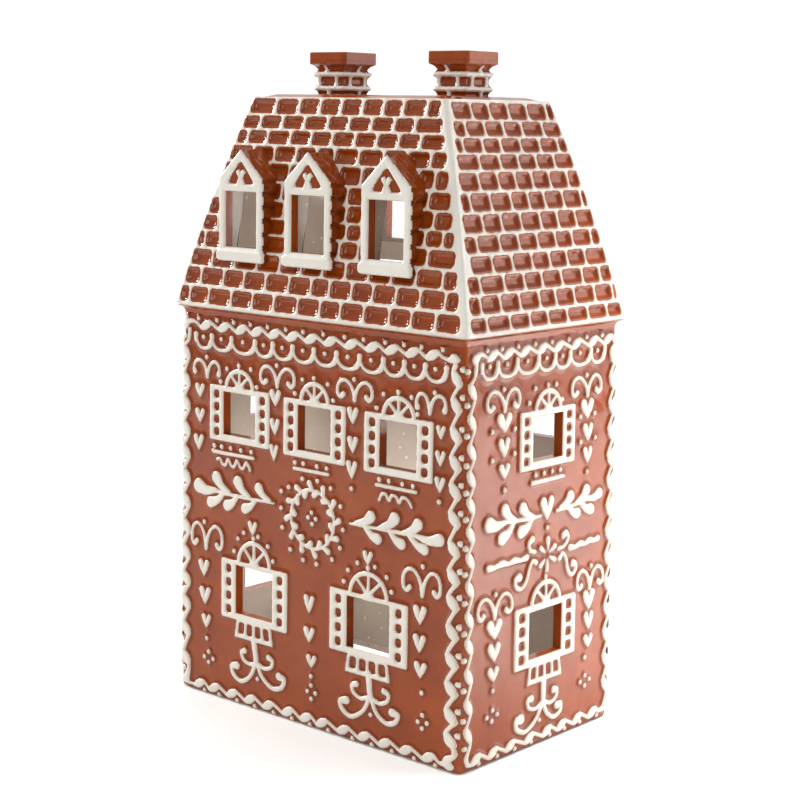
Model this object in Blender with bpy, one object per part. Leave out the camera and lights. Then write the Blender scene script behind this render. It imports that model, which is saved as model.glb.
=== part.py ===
"""Glazed ceramic town-house lantern in the form of an iced gingerbread house.

One hollow cast shell: four walls with a closed floor, a coved eave, a curved
hipped roof with sunk bricks, three dormers on each long side and two chimneys.
The windows are cut right through. The icing ornaments are raised on the walls.
Lengths are in metres, +Z is up, and the origin is at the middle of the foot.
The back repeats the front, and the left side the right one, turned by 180 degrees.
"""
import math

import bmesh
import bpy
from mathutils import Matrix, Vector

MM = 0.001

# Walls
HEAD_WIDTH = 200 * MM
DEPTH = 126.2 * MM
FOOT_SPREAD = 2.6 * MM
FOOT_BEVEL = 1.6 * MM
CORNER = 1.8 * MM
WALL = 4.2 * MM
FLOOR = 5.5 * MM
COVE_FOOT = 213.7 * MM

# Eave and roof
OVERHANG = 3.4 * MM
RIM_FOOT = 218.0 * MM
ROOF_FOOT = 219.6 * MM
ROOF_TOP = 331.5 * MM
ROOF_INSET_X = (28.4 * MM, 7.4 * MM)
ROOF_INSET_Y = (19.4 * MM, 4.4 * MM)
ROOF_SHELL = 6.0 * MM
CROWN_INSET = 8 * MM
CROWN_RISE = 1.8 * MM

# Roof bricks
COURSES = 12
FIRST_COURSE = 220.8 * MM
LAST_COURSE = 329.9 * MM
BED_JOINT = 2.2 * MM
HEAD_JOINT = 2.4 * MM
BRICK_PITCH = 15.7 * MM
BRICK_SMALLEST = 3.5 * MM
BRICK_DRIFT = 0.9 * MM
HIP_BAND = 2.6 * MM
POCKET_DEPTH = 1.7 * MM

# Chimneys: centres along X, half widths and heights
CHIMNEY_X = (-41.6 * MM, 43.0 * MM)
CHIMNEY_HALF = 10.9 * MM
CHIMNEY_FOOT = 328 * MM
CAP_HALF = 12.1 * MM
CAP_CHAMFER_FOOT = 346.6 * MM
CAP_FOOT = 349.7 * MM
CAP_TOP = 355.3 * MM
CAP_CROWN = 0.5 * MM
RING_HEIGHTS = (336.5 * MM, 344.1 * MM)
RING_RISE = 0.8 * MM
RING_HALF_HEIGHT = 1.1 * MM

# Dormers: centres along X, then the sizes that all of them share
DORMER_X = (-54.3 * MM, -5.2 * MM, 48.6 * MM)
DORMER_FACE = 64.0 * MM
DORMER_BACK = 44.0 * MM
DORMER_HALF = 15.6 * MM
DORMER_FOOT = 245.5 * MM
DORMER_EAVE = 288.6 * MM
DORMER_APEX = 302.8 * MM
PLATE_MARGIN = 1.2 * MM
PLATE_PROUD = 0.9 * MM
PLATE_BACK = 2.4 * MM
SILL_HALF = 18.2 * MM
SILL_FOOT = 244.3 * MM
SILL_HEAD = 250.6 * MM
SILL_PROUD = 1.9 * MM
DORMER_WINDOW_HALF = 12.2 * MM
DORMER_WINDOW_FOOT = 252.2 * MM
DORMER_WINDOW_HEAD = 281.5 * MM
GABLE_FOOT = 286 * MM
GABLE_HEAD = 297.6 * MM
GABLE_HALF = 10 * MM
GABLE_DEPTH = 1.3 * MM

# Icing relief
ICING_SUNK = 0.9 * MM
ICING_PROUD = 1.7 * MM
FRAME_PROUD = 1.8 * MM
ARCH_STEPS = 8
LOBE_PITCH = 13.4 * MM
LOBE_HALF = 2.7 * MM
LOBE_SHAPE = ((-0.49, -0.25), (-0.14, 1.0), (0.49, 0.25), (0.14, -1.0))

# Windows of the front wall in millimetres: opening from and to along the wall,
# opening foot and head, frame margin at the sides, at the foot and at the head,
# rise of the fan arch above the frame, and whether a planter box hangs below
FRONT_WINDOWS = (
    (-68.5, -44.0, 150.0, 173.5, 10.8, 4.0, 3.0, 11.0, False),
    (-12.0, 11.5, 149.2, 173.0, 10.6, 4.0, 3.0, 11.0, False),
    (45.5, 70.0, 148.6, 172.5, 10.6, 4.0, 3.0, 11.0, False),
    (-58.5, -30.5, 51.5, 78.5, 11.4, 3.8, 2.6, 13.4, True),
    (24.5, 54.0, 50.5, 77.5, 12.2, 3.8, 2.6, 13.4, True),
)
SIDE_WINDOWS = (
    (-7.5, 17.5, 151.0, 174.0, 10.8, 4.0, 3.2, 11.0, False),
    (-8.0, 20.0, 47.5, 72.5, 12.0, 4.0, 3.6, 12.2, True),
)
PLANTER_HEIGHT = 9.5 * MM
PLANTER_FLARE = 1.4 * MM

# Hearts in millimetres: middle along the wall, top, height and width
FRONT_HEARTS = (
    (-87.5, 176, 8, 7.6), (-87.5, 162, 8, 7.6), (-88.5, 147.5, 9, 8.2),
    (-29, 179, 9, 8.4), (-29.3, 163.5, 9, 7.4), (-29.8, 149.5, 9, 6.6),
    (26.7, 176.5, 9, 7.8), (26.9, 161.5, 9, 7.4), (26.5, 148.7, 9.5, 7.8),
    (85.2, 174.5, 7, 6), (85.2, 162, 8, 6.6), (85.2, 149, 8, 7),
    (-84.4, 77, 9.5, 8.6), (-83.5, 61.5, 10, 9), (-82.4, 46, 8, 7.6),
    (-2.8, 72.5, 10, 7.8), (-2.6, 55, 8.5, 8), (-0.8, 40, 7, 7.4),
    (74, 82, 10, 9), (74, 67, 9.5, 8.4), (75, 53, 8.5, 8.6),
    (-45.8, 105, 8, 7), (38.4, 103.5, 7.5, 7),
)
SIDE_HEARTS = (
    (-31, 179, 10, 12), (-31, 166.5, 10, 9.4), (-30.5, 153.5, 8, 8.6),
    (39, 178.5, 10.5, 11.6), (40, 165.5, 9.5, 9), (40.2, 153, 9, 8),
    (5.6, 131.5, 12.5, 11.6),
    (-36.6, 75, 10.5, 12.4), (-36.6, 63, 10, 10.4), (-37, 50.5, 8, 9),
    (44.4, 75, 11, 10.4), (44.6, 63, 10, 8.6), (44.6, 50.5, 7.5, 8),
)

# Leaf sprigs in millimetres: stem from tip to butt, then each leaf from its
# root to its round end with its width
FRONT_SPRIGS = (
    (((-29.5, 117.5), (-60, 117), (-80, 117.6)),
     (((-74, 117.8), (-92.4, 118.6), 8.4), ((-64, 118), (-77, 127), 7),
      ((-48.5, 118), (-60, 127), 7), ((-33, 118.4), (-43.6, 125.6), 6),
      ((-68, 117.4), (-81.4, 108.8), 6.4), ((-57.6, 117), (-68, 108.8), 6.4),
      ((-43.6, 116.8), (-54, 109.4), 6))),
    (((26, 115.8), (55, 116.6), (75, 117)),
     (((71, 116.8), (89, 117.4), 6.6), ((62, 116.8), (74.4, 124.4), 6.4),
      ((46.4, 117), (59, 125), 6.8), ((30, 116.6), (43, 123), 6.4),
      ((66, 116.4), (78.6, 109.4), 5.8), ((53, 116.2), (63.4, 109.4), 6),
      ((36, 116), (47.4, 109.4), 6))),
)
SIDE_SPRIGS = (
    (((0.5, 122), (-15, 122.4), (-32, 123.6)),
     (((-29, 123.4), (-45.6, 124.2), 8), ((-20, 122.8), (-32, 131.6), 6.6),
      ((-5, 122.2), (-17.4, 130), 6.4), ((-22, 122.4), (-34.4, 113.4), 7),
      ((-6.6, 122), (-18.6, 114.4), 7))),
    (((14, 122.6), (28, 123.2), (44, 125.4)),
     (((41, 125), (54.6, 126.6), 6), ((17, 123.4), (28.6, 130), 6.4),
      ((31, 124), (42.6, 131.4), 6.4), ((24, 123), (34.6, 117), 6),
      ((35, 123.6), (47, 117.4), 6))),
)
LEAF_ROOT_SHARE = 0.3
STEM_HALF = 1.1 * MM

# Wreath of the front wall
WREATH_CENTRE = (-1.0, 115.4)
WREATH_RADIUS = 15.6 * MM
WREATH_LEAVES = 14
WREATH_LEAF_REACH = 3.6 * MM
WREATH_LEAF_WIDTH = 3.4 * MM
WREATH_LEAF_LENGTH = 5.6 * MM

# Borders of slanted lobes in millimetres: corners of their middle line
FRONT_BORDER = ((-98.4, 4.8), (95.0, 4.8), (95.0, 208.7), (-96.4, 208.7))
SIDE_BORDER = ((-55.6, 5.4), (59.0, 5.4), (58.6, 208.2), (-54.8, 208.2))

TERRACOTTA = (0.29, 0.075, 0.028, 1.0)
CUTTER_REACH = 12 * MM


def clear_scene():
    """Remove every object so that the model starts from nothing."""
    for item in list(bpy.data.objects):
        bpy.data.objects.remove(item, do_unlink=True)


def wall_half(height):
    """Half width of the front wall at a height: the walls spread to the foot."""
    return HEAD_WIDTH / 2 + FOOT_SPREAD * (1 - height / COVE_FOOT)


def roof_half(height):
    """Half width and half depth of the roof at a height, on its bowed slope."""
    rise = (height - ROOF_FOOT) / (ROOF_TOP - ROOF_FOOT)
    inset_x = ROOF_INSET_X[0] * rise + ROOF_INSET_X[1] * rise * rise
    inset_y = ROOF_INSET_Y[0] * rise + ROOF_INSET_Y[1] * rise * rise
    half_x = HEAD_WIDTH / 2 + OVERHANG - inset_x
    half_y = DEPTH / 2 + OVERHANG - inset_y
    return half_x, half_y


def on_front(u, v, proud):
    """Point of the front wall at u across and v up, raised by proud."""
    return Vector((u, -DEPTH / 2 - proud, v))


def on_side(u, v, proud):
    """Point of the right wall at u across and v up, raised by proud."""
    return Vector((wall_half(v) + proud, u, v))


def make_object(name, bm):
    """Turn a bmesh into a linked object with its faces pointing outwards."""
    bmesh.ops.recalc_face_normals(bm, faces=bm.faces)
    mesh = bpy.data.meshes.new(name)
    bm.to_mesh(mesh)
    bm.free()
    item = bpy.data.objects.new(name, mesh)
    bpy.context.scene.collection.objects.link(item)
    return item


def ring(bm, half_x, half_y, height, corner=CORNER):
    """Add the eight vertices of a rectangle with cut corners."""
    outline = []
    for sx, sy in ((1, -1), (1, 1), (-1, 1), (-1, -1)):
        near_y = (sx * half_x, sy * (half_y - corner))
        near_x = (sx * (half_x - corner), sy * half_y)
        outline += [near_x, near_y] if sx * sy < 0 else [near_y, near_x]
    return [bm.verts.new((x, y, height)) for x, y in outline]


def join_rings(bm, rings, cap_first=True, cap_last=True):
    """Skin a stack of rings with quads and close its ends."""
    for low, high in zip(rings, rings[1:]):
        for i in range(len(low)):
            k = (i + 1) % len(low)
            bm.faces.new((low[i], low[k], high[k], high[i]))
    if cap_first:
        bm.faces.new(rings[0])
    if cap_last:
        bm.faces.new(rings[-1])


def course_heights(course):
    """Foot and head of the brick pockets in one course."""
    pitch = (LAST_COURSE - FIRST_COURSE + BED_JOINT) / COURSES
    foot = FIRST_COURSE + course * pitch
    return foot, foot + pitch - BED_JOINT


def brick_spans(half, course):
    """Where each brick pocket of a course starts and ends across a slope."""
    limit = half - CORNER - HIP_BAND
    shift = 0.5 * (course % 2) + 0.12 * math.sin(2.3 * course)
    count = int(limit / BRICK_PITCH) + 2
    spans = []
    for n in range(-count, count + 1):
        drift = BRICK_DRIFT * math.sin(5.1 * n + 1.7 * course)
        next_drift = BRICK_DRIFT * math.sin(5.1 * (n + 1) + 1.7 * course)
        start = (n + shift) * BRICK_PITCH + drift
        end = (n + 1 + shift) * BRICK_PITCH + next_drift - HEAD_JOINT
        start = max(start, -limit)
        end = min(end, limit)
        if end - start > BRICK_SMALLEST:
            spans.append((start, end))
    return spans


def add_slope(bm, point, half_at):
    """Build one bricked slope: point maps (u, height, depth) to the roof."""
    def chain(height, spans):
        edge = half_at(height) - CORNER
        row = [-edge] + [u for span in spans for u in span] + [edge]
        return [bm.verts.new(point(u, height, 0)) for u in row]

    lower = chain(ROOF_FOOT, [])
    for course in range(COURSES):
        foot, head = course_heights(course)
        spans = brick_spans(half_at(head), course)
        feet = chain(foot, spans)
        heads = chain(head, spans)
        bm.faces.new(lower + feet[::-1])
        for i in range(0, len(feet), 2):
            bm.faces.new((feet[i], feet[i + 1], heads[i + 1], heads[i]))
        middle = (foot + head) / 2
        for i, (start, end) in enumerate(spans):
            hollow = bm.verts.new(point((start + end) / 2, middle, POCKET_DEPTH))
            rim = (feet[2 * i + 1], feet[2 * i + 2], heads[2 * i + 2], heads[2 * i + 1])
            for k in range(4):
                bm.faces.new((rim[k], rim[(k + 1) % 4], hollow))
        lower = heads
    upper = chain(ROOF_TOP, [])
    bm.faces.new(lower + upper[::-1])


def add_hip(bm, sx, sy):
    """Build the cut corner that runs up between two slopes."""
    heights = [ROOF_FOOT]
    for course in range(COURSES):
        heights += course_heights(course)
    heights.append(ROOF_TOP)
    pairs = []
    for height in heights:
        half_x, half_y = roof_half(height)
        first = bm.verts.new((sx * (half_x - CORNER), sy * half_y, height))
        second = bm.verts.new((sx * half_x, sy * (half_y - CORNER), height))
        pairs.append((first, second))
    for (a, b), (c, d) in zip(pairs, pairs[1:]):
        bm.faces.new((a, b, d, c))


def build_shell():
    """Outer skin of walls, cove, rim, bricked roof and its crowned top."""
    bm = bmesh.new()
    foot = (wall_half(0), DEPTH / 2)
    rim = (HEAD_WIDTH / 2 + OVERHANG, DEPTH / 2 + OVERHANG)
    rings = [
        ring(bm, foot[0] - FOOT_BEVEL, foot[1] - FOOT_BEVEL, 0),
        ring(bm, foot[0], foot[1], FOOT_BEVEL),
        ring(bm, HEAD_WIDTH / 2, DEPTH / 2, COVE_FOOT),
        ring(bm, *rim, RIM_FOOT),
        ring(bm, *rim, ROOF_FOOT),
    ]
    join_rings(bm, rings, cap_last=False)
    for turn in (1, -1):
        add_slope(
            bm,
            lambda u, z, d, t=turn: (t * u, -t * (roof_half(z)[1] - d), z),
            lambda z: roof_half(z)[0],
        )
        add_slope(
            bm,
            lambda u, z, d, t=turn: (t * (roof_half(z)[0] - d), t * u, z),
            lambda z: roof_half(z)[1],
        )
    for sx, sy in ((1, -1), (1, 1), (-1, 1), (-1, -1)):
        add_hip(bm, sx, sy)
    top_x, top_y = roof_half(ROOF_TOP)
    crown = [
        ring(bm, top_x, top_y, ROOF_TOP),
        ring(bm, top_x - CROWN_INSET, top_y - CROWN_INSET, ROOF_TOP + CROWN_RISE),
    ]
    join_rings(bm, crown, cap_first=False)
    bmesh.ops.remove_doubles(bm, verts=bm.verts, dist=0.01 * MM)
    return make_object("house", bm)


def build_hollow():
    """The room inside, from the floor up to the underside of the roof."""
    bm = bmesh.new()
    heights = [ROOF_FOOT + share * (ROOF_TOP - ROOF_SHELL - ROOF_FOOT)
               for share in (0, 0.5, 1)]
    rings = [
        ring(bm, wall_half(0) - WALL, DEPTH / 2 - WALL, FLOOR),
        ring(bm, HEAD_WIDTH / 2 - WALL, DEPTH / 2 - WALL, COVE_FOOT),
    ]
    for height in heights:
        half_x, half_y = roof_half(height)
        rings.append(ring(bm, half_x - ROOF_SHELL - OVERHANG * (height == heights[0]),
                          half_y - ROOF_SHELL - OVERHANG * (height == heights[0]),
                          height))
    join_rings(bm, rings)
    return make_object("hollow", bm)


def box(name, low, high):
    """A box between two opposite corners."""
    bm = bmesh.new()
    middle = [(a + b) / 2 for a, b in zip(low, high)]
    size = [b - a for a, b in zip(low, high)]
    bmesh.ops.create_cube(bm, size=1)
    bmesh.ops.scale(bm, vec=size, verts=bm.verts)
    bmesh.ops.translate(bm, vec=middle, verts=bm.verts)
    return make_object(name, bm)


def slab(name, outline, place, low, high):
    """A flat plate: an outline on the wall, from depth low to height high."""
    bm = bmesh.new()
    floor = [bm.verts.new(place(u, v, low)) for u, v in outline]
    roof = [bm.verts.new(place(u, v, high)) for u, v in outline]
    join_rings(bm, [floor, roof])
    return make_object(name, bm)


def mound(name, outline, peak, place):
    """A drop of icing: an outline sunk in the wall that rises to one point."""
    bm = bmesh.new()
    rim = [bm.verts.new(place(u, v, -ICING_SUNK)) for u, v in outline]
    top = bm.verts.new(place(peak[0], peak[1], ICING_PROUD))
    bm.faces.new(rim)
    for i, vert in enumerate(rim):
        bm.faces.new((vert, rim[(i + 1) % len(rim)], top))
    return make_object(name, bm)


def ridge(name, path, half, place, closed=False):
    """A piped line: a ribbon sunk in the wall that rises to a ridge."""
    count = len(path)
    rows = []
    bm = bmesh.new()
    for i, (u, v) in enumerate(path):
        before = path[i - 1] if closed or i > 0 else path[i]
        after = path[(i + 1) % count] if closed or i < count - 1 else path[i]
        along = Vector((after[0] - before[0], after[1] - before[1])).normalized()
        side = Vector((-along.y, along.x)) * half
        rows.append((
            bm.verts.new(place(u + side.x, v + side.y, -ICING_SUNK)),
            bm.verts.new(place(u, v, ICING_PROUD)),
            bm.verts.new(place(u - side.x, v - side.y, -ICING_SUNK)),
        ))
    pairs = list(zip(rows, rows[1:]))
    if closed:
        pairs.append((rows[-1], rows[0]))
    else:
        bm.faces.new(rows[0])
        bm.faces.new(rows[-1])
    for one, two in pairs:
        for i in range(3):
            k = (i + 1) % 3
            bm.faces.new((one[i], two[i], two[k], one[k]))
    bmesh.ops.triangulate(bm, faces=bm.faces)
    return make_object(name, bm)


def heart_outline(middle, top, height, width):
    """Six points round a heart that hangs from its top."""
    half = width / 2
    return [
        (middle, top - height), (middle + half, top - 0.36 * height),
        (middle + 0.66 * half, top), (middle, top - 0.24 * height),
        (middle - 0.66 * half, top), (middle - half, top - 0.36 * height),
    ]


def leaf_outline(root, end, width):
    """Six points round a leaf: narrow at its root and broad near its end."""
    root = Vector(root)
    end = Vector(end)
    along = end - root
    side = Vector((-along.y, along.x)).normalized() * width / 2
    near = root + along * 0.05
    broad = root + along * 0.72
    points = [near - side * LEAF_ROOT_SHARE, broad - side, end - side * 0.4,
              end + side * 0.4, broad + side, near + side * LEAF_ROOT_SHARE]
    return [tuple(point) for point in points], tuple(root + along * 0.66)


def border_lobes(corners):
    """Outline and middle of every slanted lobe along the border's four runs."""
    for i, start in enumerate(corners):
        start = Vector(start) * MM
        run = Vector(corners[(i + 1) % len(corners)]) * MM - start
        count = round(run.length / LOBE_PITCH)
        along = run / count
        side = Vector((-run.y, run.x)).normalized() * LOBE_HALF
        for lobe in range(count):
            middle = start + along * (lobe + 0.5)
            outline = [tuple(middle + along * a + side * b) for a, b in LOBE_SHAPE]
            yield outline, tuple(middle)


def scaled(points):
    """Turn wall points in millimetres into metres."""
    return [(u * MM, v * MM) for u, v in points]


def build_window(sizes, place, solids, cutters):
    """Add one window frame with its arch and planter, and cut its opening."""
    *lengths, planter = sizes
    left, right, foot, head, side, below, above, arch = [s * MM for s in lengths]
    middle = (left + right) / 2
    arch_half = (right - left) / 2 - 0.8 * MM
    top = head + above
    outline = [(left - side, foot - below), (right + side, foot - below),
               (right + side, top)]
    for step in range(ARCH_STEPS + 1):
        angle = math.pi * step / ARCH_STEPS
        outline.append((middle + arch_half * math.cos(angle),
                        top + arch * math.sin(angle)))
    outline.append((left - side, top))
    solids.append(slab("frame", outline, place, -ICING_SUNK, FRAME_PROUD))
    if planter:
        under = foot - below
        box_outline = [
            (left - PLANTER_FLARE, under - PLANTER_HEIGHT),
            (right + PLANTER_FLARE, under - PLANTER_HEIGHT),
            (right - PLANTER_FLARE, under + ICING_SUNK),
            (left + PLANTER_FLARE, under + ICING_SUNK),
        ]
        solids.append(slab("planter", box_outline, place, -ICING_SUNK,
                           0.9 * FRAME_PROUD))
    opening = [(left, foot), (right, foot), (right, head), (left, head)]
    cutters.append(slab("opening", opening, place, -CUTTER_REACH, CUTTER_REACH))


def build_wall(place, windows, hearts, sprigs, border, solids, cutters):
    """Add the windows and the icing of one wall."""
    for sizes in windows:
        build_window(sizes, place, solids, cutters)
    for middle, top, height, width in hearts:
        outline = scaled(heart_outline(middle, top, height, width))
        peak = (middle * MM, (top - 0.42 * height) * MM)
        solids.append(mound("heart", outline, peak, place))
    for stem, leaves in sprigs:
        solids.append(ridge("stem", scaled(stem), STEM_HALF, place))
        for root, end, width in leaves:
            outline, peak = leaf_outline(root, end, width)
            solids.append(mound("leaf", scaled(outline),
                                scaled([peak])[0], place))
    for outline, peak in border_lobes(border):
        solids.append(mound("lobe", outline, peak, place))


def build_wreath(solids):
    """The ring of leaves in the middle of the front wall."""
    centre = Vector(WREATH_CENTRE) * MM
    path = []
    for step in range(2 * WREATH_LEAVES):
        angle = math.pi * step / WREATH_LEAVES
        radius = WREATH_RADIUS + (WREATH_LEAF_REACH if step % 2 else 0) / 2
        path.append((centre.x + radius * math.cos(angle),
                     centre.y + radius * math.sin(angle)))
    solids.append(ridge("wreath", path, STEM_HALF, on_front, closed=True))
    for leaf in range(WREATH_LEAVES):
        angle = 2 * math.pi * leaf / WREATH_LEAVES
        turn = Matrix.Rotation(angle, 2)
        reach = WREATH_LEAF_REACH if leaf % 2 else -WREATH_LEAF_REACH
        root = centre + turn @ Vector((WREATH_RADIUS, 0))
        end = centre + turn @ Vector((WREATH_RADIUS + reach, WREATH_LEAF_LENGTH))
        outline, peak = leaf_outline(root, end, WREATH_LEAF_WIDTH)
        solids.append(mound("leaf", outline, peak, on_front))


def build_dormer(centre, solids, cutters):
    """Add one dormer with its white face plate and sill, and cut its window."""
    def gable(half, foot, eave, apex):
        return [(centre - half, foot), (centre + half, foot), (centre + half, eave),
                (centre, apex), (centre - half, eave)]

    face = DORMER_FACE - DEPTH / 2
    back = DORMER_BACK - DEPTH / 2
    body = gable(DORMER_HALF, DORMER_FOOT, DORMER_EAVE, DORMER_APEX)
    solids.append(slab("dormer", body, on_front, back, face))
    plate = gable(DORMER_HALF + PLATE_MARGIN, DORMER_FOOT + PLATE_MARGIN,
                  DORMER_EAVE, DORMER_APEX + PLATE_MARGIN)
    solids.append(slab("plate", plate, on_front, face - PLATE_BACK,
                       face + PLATE_PROUD))
    solids.append(box("sill",
                      (centre - SILL_HALF, -DORMER_FACE - SILL_PROUD, SILL_FOOT),
                      (centre + SILL_HALF, -DORMER_BACK, SILL_HEAD)))
    cutters.append(box("opening",
                       (centre - DORMER_WINDOW_HALF, -DORMER_FACE - CUTTER_REACH,
                        DORMER_WINDOW_FOOT),
                       (centre + DORMER_WINDOW_HALF, -DORMER_BACK + CUTTER_REACH,
                        DORMER_WINDOW_HEAD)))
    recess = [(centre - GABLE_HALF, GABLE_FOOT), (centre + GABLE_HALF, GABLE_FOOT),
              (centre, GABLE_HEAD)]
    cutters.append(slab("recess", recess, on_front,
                        face + PLATE_PROUD - GABLE_DEPTH, face + CUTTER_REACH))


def build_chimney(centre):
    """One square chimney with two mortar rings and a chamfered cap."""
    bm = bmesh.new()
    rows = [(CHIMNEY_FOOT, CHIMNEY_HALF)]
    for height in RING_HEIGHTS:
        rows.append((height - RING_HALF_HEIGHT, CHIMNEY_HALF))
        rows.append((height, CHIMNEY_HALF + RING_RISE))
        rows.append((height + RING_HALF_HEIGHT, CHIMNEY_HALF))
    rows += [
        (CAP_CHAMFER_FOOT, CHIMNEY_HALF), (CAP_FOOT, CAP_HALF),
        (CAP_TOP, CAP_HALF), (CAP_TOP + CAP_CROWN, CAP_HALF - CORNER),
    ]
    rings = [ring(bm, half, half, height, CORNER / 2) for height, half in rows]
    join_rings(bm, rings)
    bmesh.ops.translate(bm, vec=(centre, 0, 0), verts=bm.verts)
    return make_object("chimney", bm)


def turned_copies(items):
    """Copy the parts of the front and right sides to the back and left."""
    copies = []
    for item in items:
        copy = item.copy()
        copy.data = item.data.copy()
        copy.data.transform(Matrix.Rotation(math.pi, 4, "Z"))
        bpy.context.scene.collection.objects.link(copy)
        copies.append(copy)
    return items + copies


def apply_boolean(target, items, operation, solver="EXACT"):
    """Join or cut the target with a collection of parts, then drop them."""
    group = bpy.data.collections.new(operation)
    bpy.context.scene.collection.children.link(group)
    for item in items:
        bpy.context.scene.collection.objects.unlink(item)
        group.objects.link(item)
    modifier = target.modifiers.new(operation, "BOOLEAN")
    modifier.operation = operation
    modifier.operand_type = "COLLECTION"
    modifier.collection = group
    modifier.solver = solver
    graph = bpy.context.evaluated_depsgraph_get()
    result = bpy.data.meshes.new_from_object(target.evaluated_get(graph))
    target.modifiers.remove(modifier)
    target.data = result
    for item in items:
        bpy.data.objects.remove(item, do_unlink=True)
    bpy.data.collections.remove(group)


def glaze(item):
    """Give the part its brown glazed earthenware material."""
    material = bpy.data.materials.new("terracotta_glaze")
    material.use_nodes = True
    shader = material.node_tree.nodes["Principled BSDF"]
    shader.inputs["Base Color"].default_value = TERRACOTTA
    shader.inputs["Roughness"].default_value = 0.22
    shader.inputs["Metallic"].default_value = 0.0
    item.data.materials.clear()
    item.data.materials.append(material)


def main():
    """Build the lantern."""
    clear_scene()
    house = build_shell()
    solids = []
    cutters = []
    build_wall(on_front, FRONT_WINDOWS, FRONT_HEARTS, FRONT_SPRIGS,
               FRONT_BORDER, solids, cutters)
    build_wall(on_side, SIDE_WINDOWS, SIDE_HEARTS, SIDE_SPRIGS,
               SIDE_BORDER, solids, cutters)
    build_wreath(solids)
    for centre in DORMER_X:
        build_dormer(centre, solids, cutters)
    solids = turned_copies(solids)
    cutters = turned_copies(cutters)
    solids += [build_chimney(centre) for centre in CHIMNEY_X]
    cutters.append(build_hollow())
    apply_boolean(house, solids, "UNION")
    apply_boolean(house, cutters, "DIFFERENCE")
    glaze(house)


main()
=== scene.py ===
"""Looks of the glazed ceramic town-house lantern in the form of an iced gingerbread house.

The house is slip cast and glazed brown, and its raised icing is wiped white. Each wall
and roof slope is a fine sheet whose relief is drawn by hand-sized strokes. Lengths in the
tables are millimetres: u runs to the right as one faces the side, and v runs up. The back
repeats the front, and the left side the right one, turned by half a turn.
"""
import logging
import math
from dataclasses import dataclass, replace
from enum import Enum
from typing import Any, Iterable, Sequence

import bmesh
import bpy
import numpy as np
from mathutils import Matrix, Vector


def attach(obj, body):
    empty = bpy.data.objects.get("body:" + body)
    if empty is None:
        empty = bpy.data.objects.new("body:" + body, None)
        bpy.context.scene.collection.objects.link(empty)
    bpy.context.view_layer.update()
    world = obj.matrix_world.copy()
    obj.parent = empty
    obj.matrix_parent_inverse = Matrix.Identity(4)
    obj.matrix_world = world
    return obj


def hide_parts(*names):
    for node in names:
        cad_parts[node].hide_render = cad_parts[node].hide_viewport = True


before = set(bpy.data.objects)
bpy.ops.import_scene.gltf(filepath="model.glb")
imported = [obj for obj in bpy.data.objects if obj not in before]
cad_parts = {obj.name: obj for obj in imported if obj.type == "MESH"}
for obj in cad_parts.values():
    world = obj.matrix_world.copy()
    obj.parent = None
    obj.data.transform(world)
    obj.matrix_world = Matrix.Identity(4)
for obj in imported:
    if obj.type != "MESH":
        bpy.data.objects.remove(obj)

LOG = logging.getLogger("lantern")
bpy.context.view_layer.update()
BODY = "root"
NODE = "house"

MM = 0.001
FAR = 1000.0

# Walls
HEAD_HALF = 100.0
DEPTH_HALF = 63.1
FOOT_SPREAD = 2.6
FOOT_ROUND = 1.6
WALL = 4.2
CORNER = 2.0
CORNER_LOSS = CORNER * (1 - math.pi / 4)
COVE_FOOT = 213.7
COVE_HEAD = 218.0
OVERHANG = 3.4

# Roof
ROOF_FOOT = 219.6
ROOF_TOP = 331.5
ROOF_INSET_X = (28.4, 7.4)
ROOF_INSET_Y = (19.4, 4.4)
ROOF_SHELL = 6.0
LINING = 0.35

Point = tuple[float, float]
Stroke = Sequence[tuple[float, float, float]]


class Slot(Enum):
    """The material slots of the record."""

    BROWN = "terracotta_glaze"
    WHITE = "white_glaze"
    INNER = "pale_inner_glaze"


class Side(Enum):
    """The sides of the house, counted in quarter turns from the front."""

    FRONT = 0
    RIGHT = 1
    BACK = 2
    LEFT = 3

    @property
    def long(self) -> bool:
        """Whether this is one of the two long sides."""
        return self in (Side.FRONT, Side.BACK)

    @property
    def title(self) -> str:
        """The side's name in lower case."""
        return self.name.lower()

    @property
    def turn(self) -> tuple[int, int]:
        """The cosine and sine of the side's turn from the front."""
        return ((1, 0), (0, 1), (-1, 0), (0, -1))[self.value]

    def place(self, along: np.ndarray, outward: np.ndarray, up: np.ndarray) -> np.ndarray:
        """Turn lengths in mm along, out of and up this side into points in metres."""
        cos, sin = self.turn
        return np.stack((cos * along + sin * outward, sin * along - cos * outward, up + 0 * along), -1) * MM

    def along(self, x: float, y: float) -> float:
        """Tell how far a place lies to the right of the side's middle."""
        cos, sin = self.turn
        return cos * x + sin * y

    def outward(self, x: float, y: float) -> float:
        """Tell how far a place lies from the house's middle towards the side."""
        cos, sin = self.turn
        return sin * x - cos * y


def smooth(x: np.ndarray) -> np.ndarray:
    """Ease from 0 to 1 as x goes from 0 to 1."""
    x = np.clip(x, 0, 1)
    return x * x * (3 - 2 * x)


def bulge(x: np.ndarray) -> np.ndarray:
    """Rise from 0 to 1 on a quarter circle as x goes from 0 to 1."""
    return np.sqrt(1 - (1 - np.clip(x, 0, 1)) ** 2)


def wobble(u: np.ndarray, v: np.ndarray, size: float, seed: float) -> np.ndarray:
    """Give a smooth hand-made unevenness between about -1 and 1, with swells of a size in mm."""
    k = 2 * math.pi / size
    a = np.sin(k * u + 1.3 * np.sin(0.53 * k * v + seed) + seed)
    b = np.sin(0.87 * k * v + 1.1 * np.sin(0.61 * k * u + 2 * seed) + 2.3 * seed)
    return 0.5 * (a + b)


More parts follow.
